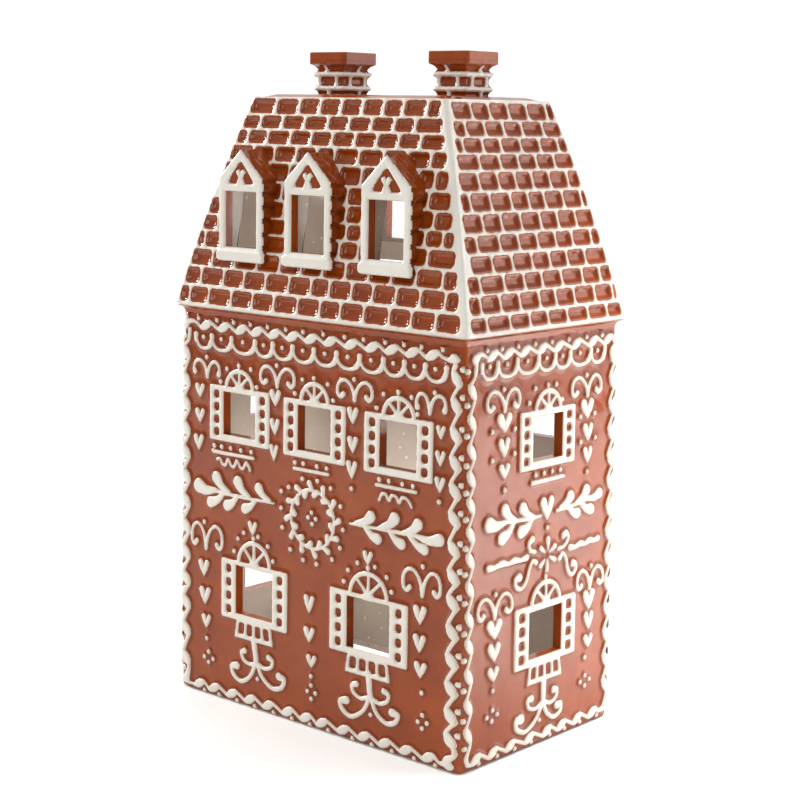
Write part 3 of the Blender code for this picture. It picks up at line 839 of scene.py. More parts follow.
FRONT = Drawing(
    windows=(
        Window(-68.5, -44.0, 150.0, 173.5, 10.8, 4.0, 3.0, 11.0, False),
        Window(-12.0, 11.5, 149.2, 173.0, 10.6, 4.0, 3.0, 11.0, False),
        Window(45.5, 70.0, 148.6, 172.5, 10.6, 4.0, 3.0, 11.0, False),
        Window(-58.5, -30.5, 51.5, 78.5, 11.4, 3.8, 2.6, 13.4, True),
        Window(24.5, 54.0, 50.5, 77.5, 12.2, 3.8, 2.6, 13.4, True),
    ),
    hearts=(
        (-87.5, 176, 8, 7.6), (-87.5, 162, 8, 7.6), (-88.5, 147.5, 9, 8.2),
        (-29, 179, 9, 8.4), (-29.3, 163.5, 9, 7.4), (-29.8, 149.5, 9, 6.6),
        (26.7, 176.5, 9, 7.8), (26.9, 161.5, 9, 7.4), (26.5, 148.7, 9.5, 7.8),
        (85.2, 174.5, 7, 6), (85.2, 162, 8, 6.6), (85.2, 149, 8, 7),
        (-84.4, 77, 9.5, 8.6), (-83.5, 61.5, 10, 9), (-82.4, 46, 8, 7.6),
        (-2.8, 72.5, 10, 7.8), (-2.6, 55, 8.5, 8), (-0.8, 40, 7, 7.4),
        (74, 82, 10, 9), (74, 67, 9.5, 8.4), (75, 53, 8.5, 8.6),
        (-45.8, 105, 8, 7), (38.4, 103.5, 7.5, 7),
    ),
    sprigs=(
        (((-29.5, 117.5), (-60, 117), (-80, 117.6)),
         (((-74, 117.8), (-92.4, 118.6), 8.4), ((-64, 118), (-77, 127), 7),
          ((-48.5, 118), (-60, 127), 7), ((-33, 118.4), (-43.6, 125.6), 6),
          ((-68, 117.4), (-81.4, 108.8), 6.4), ((-57.6, 117), (-68, 108.8), 6.4),
          ((-43.6, 116.8), (-54, 109.4), 6))),
        (((26, 115.8), (55, 116.6), (75, 117)),
         (((71, 116.8), (89, 117.4), 6.6), ((62, 116.8), (74.4, 124.4), 6.4),
          ((46.4, 117), (59, 125), 6.8), ((30, 116.6), (43, 123), 6.4),
          ((66, 116.4), (78.6, 109.4), 5.8), ((53, 116.2), (63.4, 109.4), 6),
          ((36, 116), (47.4, 109.4), 6))),
    ),
    horns=(
        Horns(-81.5, -92.5, -71.5, 189, 180, False), Horns(-27.5, -40.5, -14.5, 191, 180.5),
        Horns(28, 15.5, 40.5, 190, 180), Horns(78, 69, 88.5, 189, 179.5, False),
        Horns(-82.5, -94.5, -69, 97.5, 83.5), Horns(75.5, 62, 87.5, 100, 87),
    ),
    waves=(
        Wave((-82.5, -68.5, -55, -43, -30, -16.5, -3.2, 10.5, 25, 39.5, 52.5, 66, 79), 208.4, False,
             ((-98.5, 207, 2.0), (-96.5, 209.3, 1.6), (-91, 209.6, 0.9)),
             ((85.5, 208, 0.9), (90, 207, 1.2), (92.5, 208, 2.4), (94.5, 207.5, 1.6))),
        Wave((-88, -76, -61.5, -47.2, -33, -18, -4.5, 7.5, 23, 37.5, 52, 66.5, 81.5), 4.7, False,
             ((-98, 3.5, 1.2), (-93.5, 3.2, 0.9)), ((88, 4, 1.0), (92.5, 3.6, 1.5))),
        Wave((192, 177, 163.5, 149.5, 136, 122.5, 108.5, 94, 79, 64, 50, 34.5, 17.5), -98.3, True,
             ((-95.4, 205, 1.2), (-96.6, 199, 1.0)), ((-96.5, 11, 1.0), (-98, 4.5, 2.2))),
        Wave((198.5, 185.5, 171, 157, 143.5, 129.5, 114.5, 100.5, 87.5, 72.5, 58, 43.5, 29.5, 17), 94.0, True,
             ((93.5, 204.5, 1.6),), ((96, 9.5, 1.0), (93, 6, 2.0), (94, 3.5, 2.2))),
    ),
    posts=(-90.5, -78, -62.5, -44.5, -31, -16.5, -1, 15, 31, 47, 61, 74.5, 88),
    drops=(
        (-98, 211.5), (-88.5, 211.5), (-74, 211.6), (-61, 211.6), (-48, 211.5), (-35, 211.4), (-21.5, 211.4),
        (-9, 211.4), (5.5, 211.5), (20.5, 211.5), (33.5, 211.5), (48, 211.5), (60.5, 211.5), (72, 211.5),
        (85.5, 211.5), (97.5, 203),
        *((97.6, v) for v in (189.5, 174, 160, 146.5, 132.5, 117.5, 103.5, 90.5, 75.5, 61, 46.5, 32.5, 20)),
        *((-99, v) for v in (201, 186, 171, 157, 143, 130, 116, 101.5, 86.5, 71, 57.5, 42, 25, 11)),
        *((u, 1.6) for u in (-84, -72, -57.5, -43.5, -29, -15, -1.5, 12, 29.5, 43, 57, 72, 86)),
        (-82, 190.8), (-28, 191.8), (27.5, 190.6), (81, 190), (-84, 98.4), (75.5, 102),
        (-71, 178.5), (-66, 186), (-47.5, 187.5), (-43, 178.5), (-14.5, 178.5), (-9, 186.5),
        (9, 186), (13, 178), (43, 178), (47.5, 185.5), (66, 186), (70, 178),
        (-60, 86), (-57, 93.5), (-52.5, 97.5), (-41.5, 97), (-34, 93), (-30, 85.5),
        (22, 84.5), (25, 91), (31.5, 96), (43.5, 96), (51.5, 92), (55, 85),
        (-76, 142.5), (-70, 142.6), (-63, 142.8), (-55, 142.6), (-47, 142.8), (-14, 142), (-8, 142.2),
        (2, 142), (9, 142), (45.5, 141.7), (52, 141.8), (61, 141.7), (68, 141.7), (26.5, 134), (85, 136.3),
        (-24, 125), (-24, 116), (-23, 105.5), (-17, 94.5), (-7.5, 90.5), (2.3, 90), (13.5, 94.5), (19, 101.5),
        (21, 111.5), (19, 123.5), (12, 132), (2.5, 134.5), (-8.5, 134), (-18.5, 128),
        (-4, 114), (-1.5, 117), (-1, 111), (1.5, 114),
        (-82, 32), (-80.5, 24.5), (-84, 21), (-77, 21), (-80.5, 18.5), (-1, 28.2), (-0.8, 23.2), (-3.5, 19.5),
        (2.5, 19.5), (-0.5, 15.8), (76.3, 37), (77, 25.5), (74, 21.5), (80, 22), (77, 18.6),
        (-41.5, 17.5), (42, 17.3),
    ),
    lines=(
        ((-77, 140.3, 0.8), (-74, 139.4, 1.0), (-45.5, 139.6, 0.9)), ((-14.5, 138.8, 0.9), (10, 139, 0.9)),
        ((43.5, 138.8, 0.9), (70, 138.9, 0.9)),
        ((-73.5, 135.4, 0.9), (-71.4, 136, 0.8), (-69.4, 133.4, 0.8), (-67, 133, 0.9), (-65, 136.4, 0.9),
         (-62.6, 133.4, 0.8), (-60.2, 133, 0.9), (-58, 136.4, 0.9), (-55.4, 133.4, 0.8), (-53.2, 133, 0.9),
         (-51, 136.2, 0.9), (-48.8, 134.6, 0.9), (-47.8, 132.6, 0.8)),
        ((45.8, 131.4, 0.8), (47.4, 134.6, 0.9), (50.0, 134.8, 0.8), (52.4, 132.0, 0.9), (54.0, 134.8, 0.9),
         (57.0, 134.6, 0.8), (59.2, 132.0, 0.9), (61.0, 134.8, 0.9), (64.0, 134.6, 0.8), (66.0, 132.8, 0.8),
         (67.2, 131.0, 0.8)),
        ((-44.5, 39, 2.0), (-42.4, 27, 1.8)),
        ((-43, 26, 1.2), (-47, 24.6, 1.1), (-52, 26, 1.1), (-54, 30, 1.2), (-51.6, 31.4, 1.7)),
        ((-41, 26, 1.2), (-36, 24.6, 1.1), (-31, 26.4, 1.1), (-30, 30, 1.2), (-33, 31.4, 1.7)),
        ((-43, 26, 1.4), (-47, 18, 1.2), (-54, 13.5, 1.3), (-60, 16, 1.4), (-61.6, 20.6, 1.5),
         (-57.6, 21.6, 2.2)),
        ((-41.5, 26, 1.4), (-38, 19.6, 1.2), (-30, 14.9, 1.3), (-23, 16.8, 1.4), (-21, 21.4, 1.5),
         (-25, 22.6, 2.2)),
        ((40, 39, 2.0), (41.6, 27, 1.8)),
        ((40.6, 26.4, 1.2), (35, 24.6, 1.1), (30, 26.6, 1.1), (28.8, 30.4, 1.2), (31.8, 31.6, 1.7)),
        ((42.6, 26.4, 1.2), (48, 24.8, 1.1), (53, 27, 1.1), (54, 30.8, 1.2), (51, 32, 1.7)),
        ((40.8, 26, 1.4), (37, 18.6, 1.2), (28.6, 13.2, 1.3), (22, 16, 1.4), (20.6, 20, 1.5),
         (25, 21.2, 2.2)),
        ((42.2, 26, 1.4), (46, 19.2, 1.2), (53, 15.4, 1.3), (59, 17.4, 1.4), (60.6, 21.4, 1.5),
         (56.6, 22, 2.2)),
    ),
    wreaths=(Wreath((-1.0, 113.4), 15.6, 12),),
)

SIDE = Drawing(
    windows=(
        Window(-7.5, 17.5, 151.0, 174.0, 10.8, 4.0, 3.2, 11.0, False),
        Window(-8.0, 20.0, 47.5, 72.5, 12.0, 4.0, 3.6, 12.2, True, hole=(2.5, 2.6)),
    ),
    hearts=(
        (-31, 179, 10, 12), (-31, 166.5, 10, 9.4), (-30.5, 153.5, 8, 8.6),
        (39, 178.5, 10.5, 11.6), (40, 165.5, 9.5, 9), (40.2, 153, 9, 8),
        (5.6, 131.5, 12.5, 11.6),
        (-36.6, 75, 10.5, 12.4), (-36.6, 63, 10, 10.4), (-37, 50.5, 8, 9),
        (44.4, 75, 11, 10.4), (44.6, 63, 10, 8.6), (44.6, 50.5, 7.5, 8),
    ),
    sprigs=(
        (((0.5, 122), (-15, 122.4), (-32, 123.6)),
         (((-29, 123.4), (-45.6, 124.2), 8), ((-20, 122.8), (-32, 131.6), 6.6),
          ((-5, 122.2), (-17.4, 130), 6.4), ((-22, 122.4), (-34.4, 113.4), 7),
          ((-6.6, 122), (-18.6, 114.4), 7))),
        (((14, 122.6), (28, 123.2), (44, 125.4)),
         (((41, 125), (54.6, 126.6), 6), ((17, 123.4), (28.6, 130), 6.4),
          ((31, 124), (42.6, 131.4), 6.4), ((24, 123), (34.6, 117), 6),
          ((35, 123.6), (47, 117.4), 6))),
    ),
    horns=(
        Horns(-31, -45.5, -18.5, 190.5, 180), Horns(39, 24.5, 51.5, 190.5, 180),
        Horns(-36.5, -50.5, -22, 87, 75.5), Horns(45, 33, 57.5, 86.5, 75.5),
    ),
    waves=(
        Wave((-41.5, -29, -15.5, -1.5, 12.5, 28, 42.5, 56), 208.3, False,
             ((-54.5, 207.5, 2.6), (-50.5, 209.8, 1.3), (-46, 208, 0.9)), ((61, 209, 1.2), (62, 206, 0.9))),
        Wave((-50, -36.5, -22, -6, 9, 22, 36, 50), 5.4, False,
             ((-56.5, 4.2, 1.2),), ((56, 5, 1.2), (60, 5.5, 1.6))),
        Wave((192, 177, 162.5, 149, 136, 121.5, 108.5, 94, 78.5, 65, 49.5, 34, 19.5), -56.3, True,
             ((-53.8, 205, 1.4), (-55, 199, 1.1)), ((-55, 13.5, 1.1), (-57.5, 8, 1.3), (-56.5, 4.5, 1.4))),
        Wave((199, 186, 172, 158, 144, 130.5, 116.5, 103, 89, 75, 61, 47, 33, 19), 61.3, True,
             ((61.5, 204, 1.3),), ((62, 10, 1.2), (60.5, 6, 1.8))),
    ),
    posts=(-49.5, -37, -21.5, -4, 10, 23, 41, 53.5),
    drops=(
        *((u, 211) for u in (-45.5, -34, -21, -7, 7, 21.5, 37, 51)),
        *((-59.4, v) for v in (202, 185.5, 170.5, 156, 142.5, 129.5, 115, 102, 87.5, 72, 58.5, 43, 27.5)),
        (-58.5, 13), *((u, 2.7) for u in (-47.5, -32.5, -18, -4, 12, 25, 39, 54.5)),
        (-11, 181.5), (-6, 188.5), (11.5, 189), (17, 180.5), (-32, 190.8), (38, 190.9),
        (-40.5, 170.5), (-22.5, 170), (-40, 156), (-22.5, 157.5), (33, 169.5), (46, 170), (34, 156),
        (47, 156.8), (-30, 140), (40.2, 139.5), (-4.5, 144), (2.5, 144), (9.5, 144), (16.5, 144), (6.5, 115),
        (-35.8, 87.6), (46, 87.6), (-37, 38), (42, 38), (-37, 27.8), (-41.6, 25), (-33.2, 25), (-37.4, 22.2),
        (42.7, 27.8), (38.4, 25), (46.6, 25), (42.5, 22.2), (2.6, 13),
    ),
    lines=(
        ((-7.5, 140, 1.1), (19.5, 140.2, 1.0)),
        ((-42, 102, 1.9), (-37, 101.6, 1.4), (-31, 102.6, 1.9), (-26, 101.6, 1.3), (-21, 102.4, 1.8),
         (-16, 101.6, 1.3), (-11, 102.2, 1.8)),
        ((26.5, 101, 1.8), (31, 100.6, 1.3), (35.5, 101.6, 1.7), (39.5, 100.8, 1.3), (44, 102, 1.7),
         (48, 101.2, 1.3), (51.5, 101.8, 1.7)),
        ((-4, 104, 1.1), (-8, 105.4, 1.1), (-9.2, 109, 1.2), (-6.4, 111, 1.9)),
        ((16, 102, 1.0), (21, 102.8, 1.0), (24.4, 106.4, 1.1), (23, 110, 1.1), (20.6, 108.6, 1.9)),
        ((-2.8, 98.2, 1.4), (-6, 99.4, 1.0), (-8.6, 95.6, 1.0), (-10.6, 90.4, 1.1), (-14.6, 86.6, 1.1),
         (-19, 88.2, 1.2), (-20.2, 92, 1.2), (-16.8, 92.8, 2.4)),
        ((17, 96.6, 1.4), (20.2, 99, 1.0), (23, 95.6, 1.0), (24.8, 89.4, 1.1), (28.4, 86, 1.1),
         (31.4, 88.4, 1.2), (31.6, 91.6, 1.2), (29.4, 92, 2.0)),
        ((7, 103.4, 0.6), (7, 107, 1.4), (7, 109, 1.6)), ((6.4, 98, 0.6), (6.4, 95, 1.2), (6.4, 92.6, 1.3)),
        ((8.4, 102, 0.5), (11.4, 103.4, 1.2), (13, 104.4, 1.4)),
        ((8.4, 99.4, 0.5), (11, 98, 1.2), (13, 97, 1.4)),
        ((4.6, 102, 0.5), (2.4, 103.8, 1.2), (1, 105, 1.4)),
        ((4.4, 98.4, 0.5), (2.4, 96.8, 1.1), (0.8, 95.6, 1.3)),
        ((5.5, 34, 2.2), (5.4, 22, 1.8)),
        ((4, 22, 1.2), (-1, 20, 1.1), (-6.6, 21.6, 1.1), (-8, 25.6, 1.2), (-4.6, 26.2, 2.0)),
        ((7, 22, 1.2), (12, 20.2, 1.1), (16.6, 22.4, 1.1), (17.4, 26.4, 1.2), (14.4, 26.6, 2.0)),
        ((4.2, 21, 1.4), (-0.6, 14.2, 1.2), (-9, 9.6, 1.3), (-16.4, 12.4, 1.4), (-17.4, 17, 1.6),
         (-13.4, 17.2, 2.8)),
        ((5.8, 21, 1.4), (9, 15.4, 1.2), (15, 11.6, 1.2), (20.4, 13.6, 1.3), (21, 17.6, 1.4),
         (17.8, 17.4, 2.2)),
    ),
    swag_top=206.0, swag_foot=196.8,
)


def drawing_of(side: Side) -> tuple[Drawing, float]:
    """Give the drawing on a side, and how far in mm it stands to the right of its figures.

    The figures were read where the raised icing covers the wall, so they lean to one side.

    Args:
        side: the side of the house.

    Returns:
        The drawing and its shift.
    """
    return (FRONT, 1.3) if side.long else (SIDE, -1.7)


def windows_of(side: Side) -> list[Window]:
    """List the windows of a side where they stand."""
    drawing, shift = drawing_of(side)
    return [replace(window, left=window.left + shift, right=window.right + shift)
            for window in drawing.windows]


@dataclass
class Wall:
    """One wall: a brown relief sheet with its window jambs, and the white icing on it."""

    side: Side
    ground_cell: float = 0.85
    icing_cell: float = 0.66
    flank: float = 0.95
    flank_reach: float = 1.5
    bed: float = 0.4
    bed_reach: float = 0.9
    swell: Point = (0.07, 31.0)
    dimple: Point = (0.04, 11.0)
    ripple: float = 0.3
    ripple_foot: float = 212.6
    ripple_head: float = 216.6
    lip: float = 0.85
    top: float = 1.6
    rounding: float = 1.3
    rim_fall: float = 1.6
    rim_foot: float = -0.4
    icing_depth: float = 0.5
    straight: float = 94.0

    def half_and_out(self, v: np.ndarray) -> tuple[np.ndarray, np.ndarray]:
        """Give half the wall's width and its distance from the middle at heights v.

        Args:
            v: heights.

        Returns:
            Both lengths at each height.
        """
        cove = OVERHANG * (1 - np.sqrt(1 - np.clip((v - COVE_FOOT) / (COVE_HEAD - COVE_FOOT), 0, 1) ** 2))
        foot = np.clip(FOOT_ROUND - v, 0, FOOT_ROUND)
        edge = cove - FOOT_ROUND + np.sqrt(FOOT_ROUND ** 2 - foot ** 2)
        wide = HEAD_HALF + FOOT_SPREAD * (1 - np.minimum(v, COVE_FOOT) / COVE_FOOT) + edge
        deep = DEPTH_HALF + edge
        return (wide, deep) if self.side.long else (deep, wide)

    def grid(self, cell: float) -> tuple[np.ndarray, np.ndarray]:
        """Space the columns and rows so that they meet every window's edges.

        Args:
            cell: the widest a cell may be.

        Returns:
            Places along the wall, and heights.
        """
        half, _ = self.half_and_out(np.array(COVE_FOOT))
        reach = float(half) - CORNER_LOSS
        windows = windows_of(self.side)
        columns = spaced([-reach, reach] + [w.left for w in windows] + [w.right for w in windows], cell)
        rows = spaced([0, COVE_HEAD] + [w.foot for w in windows] + [w.head for w in windows], cell)
        return columns, rows

    def draw(self, columns: np.ndarray, rows: np.ndarray) -> Relief:
        """Draw the wall's icing on a grid."""
        drawing, shift = drawing_of(self.side)
        relief = Relief(columns - shift, rows)
        drawing.draw(relief)
        return relief

    def place(self, columns: np.ndarray, rows: np.ndarray, height: np.ndarray) -> np.ndarray:
        """Carry the grid with its relief onto the wall, round to the middle of its corners.

        Args:
            columns: the grid's places along the wall.
            rows: its heights.
            height: the relief at each grid point.

        Returns:
            Points in metres. Near the corners the columns spread to the wall's true width.
        """
        u, v = np.meshgrid(columns, rows)
        half, out = self.half_and_out(v)
        reach = columns[-1]
        straight = min(self.straight, reach - 6)
        over = np.maximum(np.abs(u) - straight, 0) * (half - CORNER_LOSS - straight) / (reach - straight)
        u = np.sign(u) * (np.minimum(np.abs(u), straight) + over)
        return self.side.place(*round_corner(u, half, out, height), v)

    def open_faces(self, columns: np.ndarray, rows: np.ndarray) -> np.ndarray:
        """Tell which faces of the grid aren't in a window."""
        u, v = np.meshgrid((columns[:-1] + columns[1:]) / 2, (rows[:-1] + rows[1:]) / 2)
        keep = np.ones(u.shape, bool)
        for window in windows_of(self.side):
            keep &= ~window.holds(u, v)
        return keep

    def build_ground(self) -> bmesh.types.BMesh:
        """Build the brown wall.

        Returns:
            A closed wall: relief outside, jambs in the windows and a flat inside.
        """
        columns, rows = self.grid(self.ground_cell)
        edge = self.draw(columns, rows).edge
        u, v = np.meshgrid(columns, rows)
        height = self.flank * smooth(1 + edge / self.flank_reach) - self.bed * smooth(edge / self.bed_reach)
        height += self.swell[0] * wobble(u, v, self.swell[1], self.side.value)
        height += self.dimple[0] * wobble(u, v, self.dimple[1], 2 + self.side.value)
        in_cove = smooth((v - self.ripple_foot) / 1.5) * smooth((self.ripple_head - v) / 3)
        waves = np.sin(2.9 * v + 0.6 * np.sin(u / 17)) + wobble(u / 9, v, 2.6, 1)
        height += in_cove * self.ripple * waves
        calm = smooth((columns[-1] - np.abs(u)) / 3) * smooth(v / 2) * smooth((COVE_HEAD - v) / 2)
        # Painted shade: the ground darkens in a ring at the foot of the icing, partly pooled glaze and partly
        # the shade of the raised icing.
        pool_and_shade = 0.5 * smooth(1.15 + edge / 1.7) * (edge < 0)
        bm = make_sheet(self.place(columns, rows, height * calm), self.open_faces(columns, rows), pool_and_shade)
        self.close_wall(bm)
        return bm

    def close_wall(self, bm: bmesh.types.BMesh) -> None:
        """Draw every rim of the sheet back to the inside of the wall and close it there.

        Args:
            bm: the wall's outer sheet.
        """
        rims = [edge for edge in bm.edges if edge.is_boundary]
        made = bmesh.ops.extrude_edge_only(bm, edges=rims)["geom"]
        for vert in (g for g in made if isinstance(g, bmesh.types.BMVert)):
            v = vert.co.z / MM
            half, out = (float(x) for x in self.half_and_out(np.array(v)))
            along = max(-half + WALL, min(half - WALL, self.side.along(vert.co.x, vert.co.y) / MM))
            vert.co = self.side.place(np.array(along), np.array(out - WALL), np.array(v)).tolist()
        inner = [g for g in made if isinstance(g, bmesh.types.BMEdge)]
        bmesh.ops.triangle_fill(bm, use_beauty=False, use_dissolve=False, edges=inner)
        bmesh.ops.recalc_face_normals(bm, faces=bm.faces)

    def build_icing(self) -> bmesh.types.BMesh:
        """Build the white icing.

        Returns:
            A closed rounded skin whose rims are sunk in the wall.
        """
        columns, rows = self.grid(self.icing_cell)
        u, v = np.meshgrid(columns, rows)
        edge = self.draw(columns, rows).edge + 0.06 * wobble(u, v, 4.3, 3 + self.side.value)
        inside = self.lip + (self.top - self.lip) * bulge(edge / self.rounding)
        height = np.where(edge > 0, inside, np.maximum(self.lip + self.rim_fall * edge, self.rim_foot))
        height += 0.05 * wobble(u, v, 9, 5)
        keep = any_corner(edge > -0.05) & self.open_faces(columns, rows)
        pool_and_shade = 1 - smooth(edge / 0.7)
        return thicken(make_sheet(self.place(columns, rows, height), keep, pool_and_shade), self.icing_depth)


# Head joints of the bricks in each course, from the eave up, and the courses' foot and head
FRONT_COURSES = (
    (220.8, 228.5, (-93, -78, -60.5, -44.3, -28.2, -11, 5.2, 19.5, 35.5, 52.7, 67, 82.8)),
    (231, 239, (-85.8, -68.3, -52.6, -36.3, -19, -3, 10, 25.5, 39.8, 55.2, 71, 87)),
    (241, 248.7, (-93.2, -79, -61.5, -44.5, -27.5, -11.8, 3.5, 19.5, 35.5, 50.5, 66.5, 83.7)),
    (251, 258.6, (-87, -74, -58, -42, -25, -10, 3, 13, 26, 42, 58, 72, 88.8)),
    (260.5, 267.3, (-78.5, -62, -46, -27.3, -12, 3, 16, 26.5, 41, 55, 68.5, 80)),
    (269, 276.5, (-77, -62, -47, -30.5, -15, 0, 14, 25.5, 41, 57, 72.5)),
    (278.4, 285.7, (-81, -65, -50, -34, -18, -3, 13, 27, 41, 54, 67, 80)),
    (288, 296, (-63, -47, -31, -15, 4.5, 20.5, 30.5, 45, 58, 69)),
    (298, 305, (-75.3, -60, -44, -28, -13, -0.5, 16.5, 33.5, 49, 64.5)),
    (307.2, 313.2, (-66, -51.2, -34.2, -19, -4, 12, 27, 41.5, 56)),
    (315.3, 321, (-58.2, -42, -25.7, -9, 6, 21.5, 36.8, 50.7)),
    (323, 330, (-65.8, -48.8, -31.5, -16.5, -1.5, 13.5, 27.8, 41, 56.5)),
)
SIDE_COURSES = (
    (220.8, 227, (-49.2, -31, -15, 0, 16.5, 34.2, 51.3)),
    (229.3, 237, (-51.5, -36, -20.5, -4.5, 9.2, 25.2, 43, 59.2)),
    (239, 246.2, (-49, -30.2, -14, 0.7, 17.2, 35.2, 51)),
    (248.2, 255.7, (-53.8, -36.5, -20.5, -4.5, 10.2, 25.2, 41)),
    (258, 265.4, (-45.2, -27.5, -12.2, 3.2, 18.7, 33, 49.7)),
    (267.5, 275.5, (-37.5, -22.7, -6.8, 9.2, 24, 39.7)),
    (277.5, 285.5, (-43.5, -27.5, -11.2, 3.2, 16.7, 32.5, 48.5)),
    (287.5, 295.5, (-33, -17.7, -3.7, 10.2, 25, 40.5)),
    (297.5, 304, (-46.5, -29.2, -12.7, 2.2, 17.2, 32.7)),
    (305.8, 312, (-38.7, -23.2, -8.7, 7.5, 23.7, 39.2)),
    (313.8, 320.2, (-33.2, -18.2, -3.2, 12, 29.7)),
    (322, 329.5, (-39, -25.2, -11, 4.5, 20.2, 36.5)),
)

DORMER_X = (-54.3, -5.2, 48.6)
CHIMNEY_X = {"left": -41.6, "right": 43.0}


@dataclass
class Slope:
    """One roof slope: brown bricks sunk between white mortar ridges."""

    side: Side
    courses: Sequence[tuple[float, float, Sequence[float]]]
    cell: float = 0.81
    foot: float = 217.9
    margins: Point = (1.9, 4.6)
    joint: float = 1.15
    brick_rounding: float = 2.0
    brick_least: float = 1.5
    brick_tilt: float = 0.25
    depth: float = 1.8
    mortar_rise: float = 0.45
    mortar_rounding: float = 0.8
    lip: float = 2.2
    hole_half: float = 14.2
    hole_span: Point = (249.5, 284.0)
    brick_back: float = 1.2
    mortar_back: float = 0.4

    def half_and_out(self, v: np.ndarray) -> tuple[np.ndarray, np.ndarray]:
        """Give half the slope's width and its distance from the middle at heights v."""
        brim = np.maximum(v - ROOF_TOP, 0) + 0.5 * smooth((ROOF_FOOT - v) / 1.7)
        wide, deep = (half - brim for half in roof_half(v))
        return (wide, deep) if self.side.long else (deep, wide)

    def bricks(self, u: np.ndarray, v: np.ndarray) -> np.ndarray:
        """Measure the distance inside the nearest brick at points of the slope.

        Args:
            u: places along the slope.
            v: heights.

        Returns:
            The distances, negative in the mortar.
        """
        inside = np.full(u.shape, -FAR)
        left, right = self.margins if self.side.long else self.margins[::-1]
        for k, (low, high, joints) in enumerate(self.courses):
            half = float(self.half_and_out(np.array((low + high) / 2))[0])
            first, last = -half + left, half - right
            ends = [first, *[joint for joint in joints if first + 2 < joint < last - 2], last]
            rows = (v[:, 0] > low - 4) & (v[:, 0] < high + 4)
            for n, (a, b) in enumerate(zip(ends, ends[1:])):
                a = a + (self.joint if n else 0)
                b = b - (self.joint if n < len(ends) - 2 else 0)
                if b - a < self.brick_least:
                    continue
                tilt = self.brick_tilt * math.sin(3.7 * n + 2.1 * k)
                box = inside_box(u[rows] + 0.04 * (v[rows] - low) * tilt, v[rows] + tilt * 0.5,
                                 ((a + b) / 2, (low + high) / 2), ((b - a) / 2, (high - low) / 2),
                                 self.brick_rounding)
                inside[rows] = np.maximum(inside[rows], box)
        return inside + 0.16 * wobble(u, v, 6.5, self.side.value)

    def place(self, share: np.ndarray, v: np.ndarray, height: np.ndarray) -> np.ndarray:
        """Carry points of the slope to their places.

        Args:
            share: places along the slope as a share of its half width.
            v: heights; those above the roof's top lie on its flat brim.
            height: the relief at each point.

        Returns:
            Points in metres.
        """
        half, out = self.half_and_out(v)
        level = np.where(v > ROOF_TOP - 0.01, ROOF_TOP + np.minimum(height, 0), v)
        return self.side.place(*round_corner(share * (half - CORNER_LOSS), half, out, height), level)

    def build(self) -> tuple[bmesh.types.BMesh, bmesh.types.BMesh]:
        """Build the slope.

        Returns:
            The brown sheet with its sunk bricks, and the white mortar.
        """
        half = float(self.half_and_out(np.array(ROOF_FOOT))[0])
        columns = np.linspace(-1, 1, round(2 * half / self.cell))
        rows = spaced((self.foot, ROOF_TOP, ROOF_TOP + self.lip), self.cell)
        share, v = np.meshgrid(columns, rows)
        u = share * (self.half_and_out(v)[0] - CORNER_LOSS)
        edge = self.bricks(u, v)
        hole = np.zeros(u.shape, bool)
        if self.side.long:
            in_span = (v > self.hole_span[0]) & (v < self.hole_span[1])
            for x in DORMER_X:
                hole |= (np.abs(u - x) < self.hole_half) & in_span
        solid = ~any_corner(hole)
        brown, pool_and_shade = self.brown_relief(u, v, edge)
        calm = smooth((1 - np.abs(share)) * half / 1.5)
        brown = np.where(calm < 1, -0.5, brown)
        sunk = make_sheet(self.place(share, v, brown), solid, pool_and_shade)
        white, pool_and_shade = self.white_relief(u, v, edge)
        mortar = make_sheet(self.place(share, v, white), any_corner(edge < -0.2) & solid, pool_and_shade)
        return thicken(sunk, self.brick_back), thicken(mortar, self.mortar_back)

    def brown_relief(self, u: np.ndarray, v: np.ndarray, edge: np.ndarray) -> tuple[np.ndarray, np.ndarray]:
        """Shape the dished bricks.

        Args:
            u: places along the slope.
            v: heights.
            edge: inside distance of the bricks.

        Returns:
            Their height and where their glaze pools.
        """
        height = -self.mortar_rise - self.depth * smooth(edge / 2.7) + 0.05 * wobble(u, v, 5, 4)
        height -= 0.25 * smooth((-edge - 0.4) / 0.6)
        return height, 0.5 * smooth((edge - 0.2) / 0.8) * (1 - smooth((edge - 1.2) / 0.8))

    def white_relief(self, u: np.ndarray, v: np.ndarray, edge: np.ndarray) -> tuple[np.ndarray, np.ndarray]:
        """Shape the rounded mortar, with the arguments and results of brown_relief."""
        inner = -edge - 0.35 + 0.12 * wobble(u, v, 3.1, 2)
        ridge = -self.mortar_rise + (self.mortar_rise - 0.1) * bulge(inner / self.mortar_rounding)
        ridge += 0.05 * wobble(u, v, 7, 1)
        return np.where(inner > 0, ridge, -self.mortar_rise + 1.9 * inner), smooth(1 - inner / 0.5)


def merged(parts: Sequence[bmesh.types.BMesh], weld_mm: float = 0.01) -> bmesh.types.BMesh:
    """Join sheets into one mesh and weld their seams.

    Args:
        parts: the sheets, which are freed.
        weld_mm: points closer than this become one.

    Returns:
        The welded mesh.
    """
    whole = bmesh.new()
    for part in parts:
        mesh = bpy.data.meshes.new("part")
        part.to_mesh(mesh)
        part.free()
        whole.from_mesh(mesh)
        bpy.data.meshes.remove(mesh)
    bmesh.ops.remove_doubles(whole, verts=whole.verts, dist=weld_mm * MM)
    return whole


def snap(u: np.ndarray, v: np.ndarray, edge: np.ndarray, reach: float) -> tuple[np.ndarray, np.ndarray]:
    """Pull the grid points just outside an outline onto it, for a clean rim.

    Args:
        u: places across.
        v: places up.
        edge: inside distance of the outline.
        reach: how far outside a point may be.

    Returns:
        The moved places.
    """
    slope_v, slope_u = np.gradient(edge)
    slope_u = slope_u / np.gradient(u, axis=1)
    slope_v = slope_v / np.gradient(v, axis=0)
    size = np.maximum(np.hypot(slope_u, slope_v), 0.3)
    step = np.where((edge < 0) & (edge > -reach), -edge, 0) / size ** 2
    return u + slope_u * step, v + slope_v * step


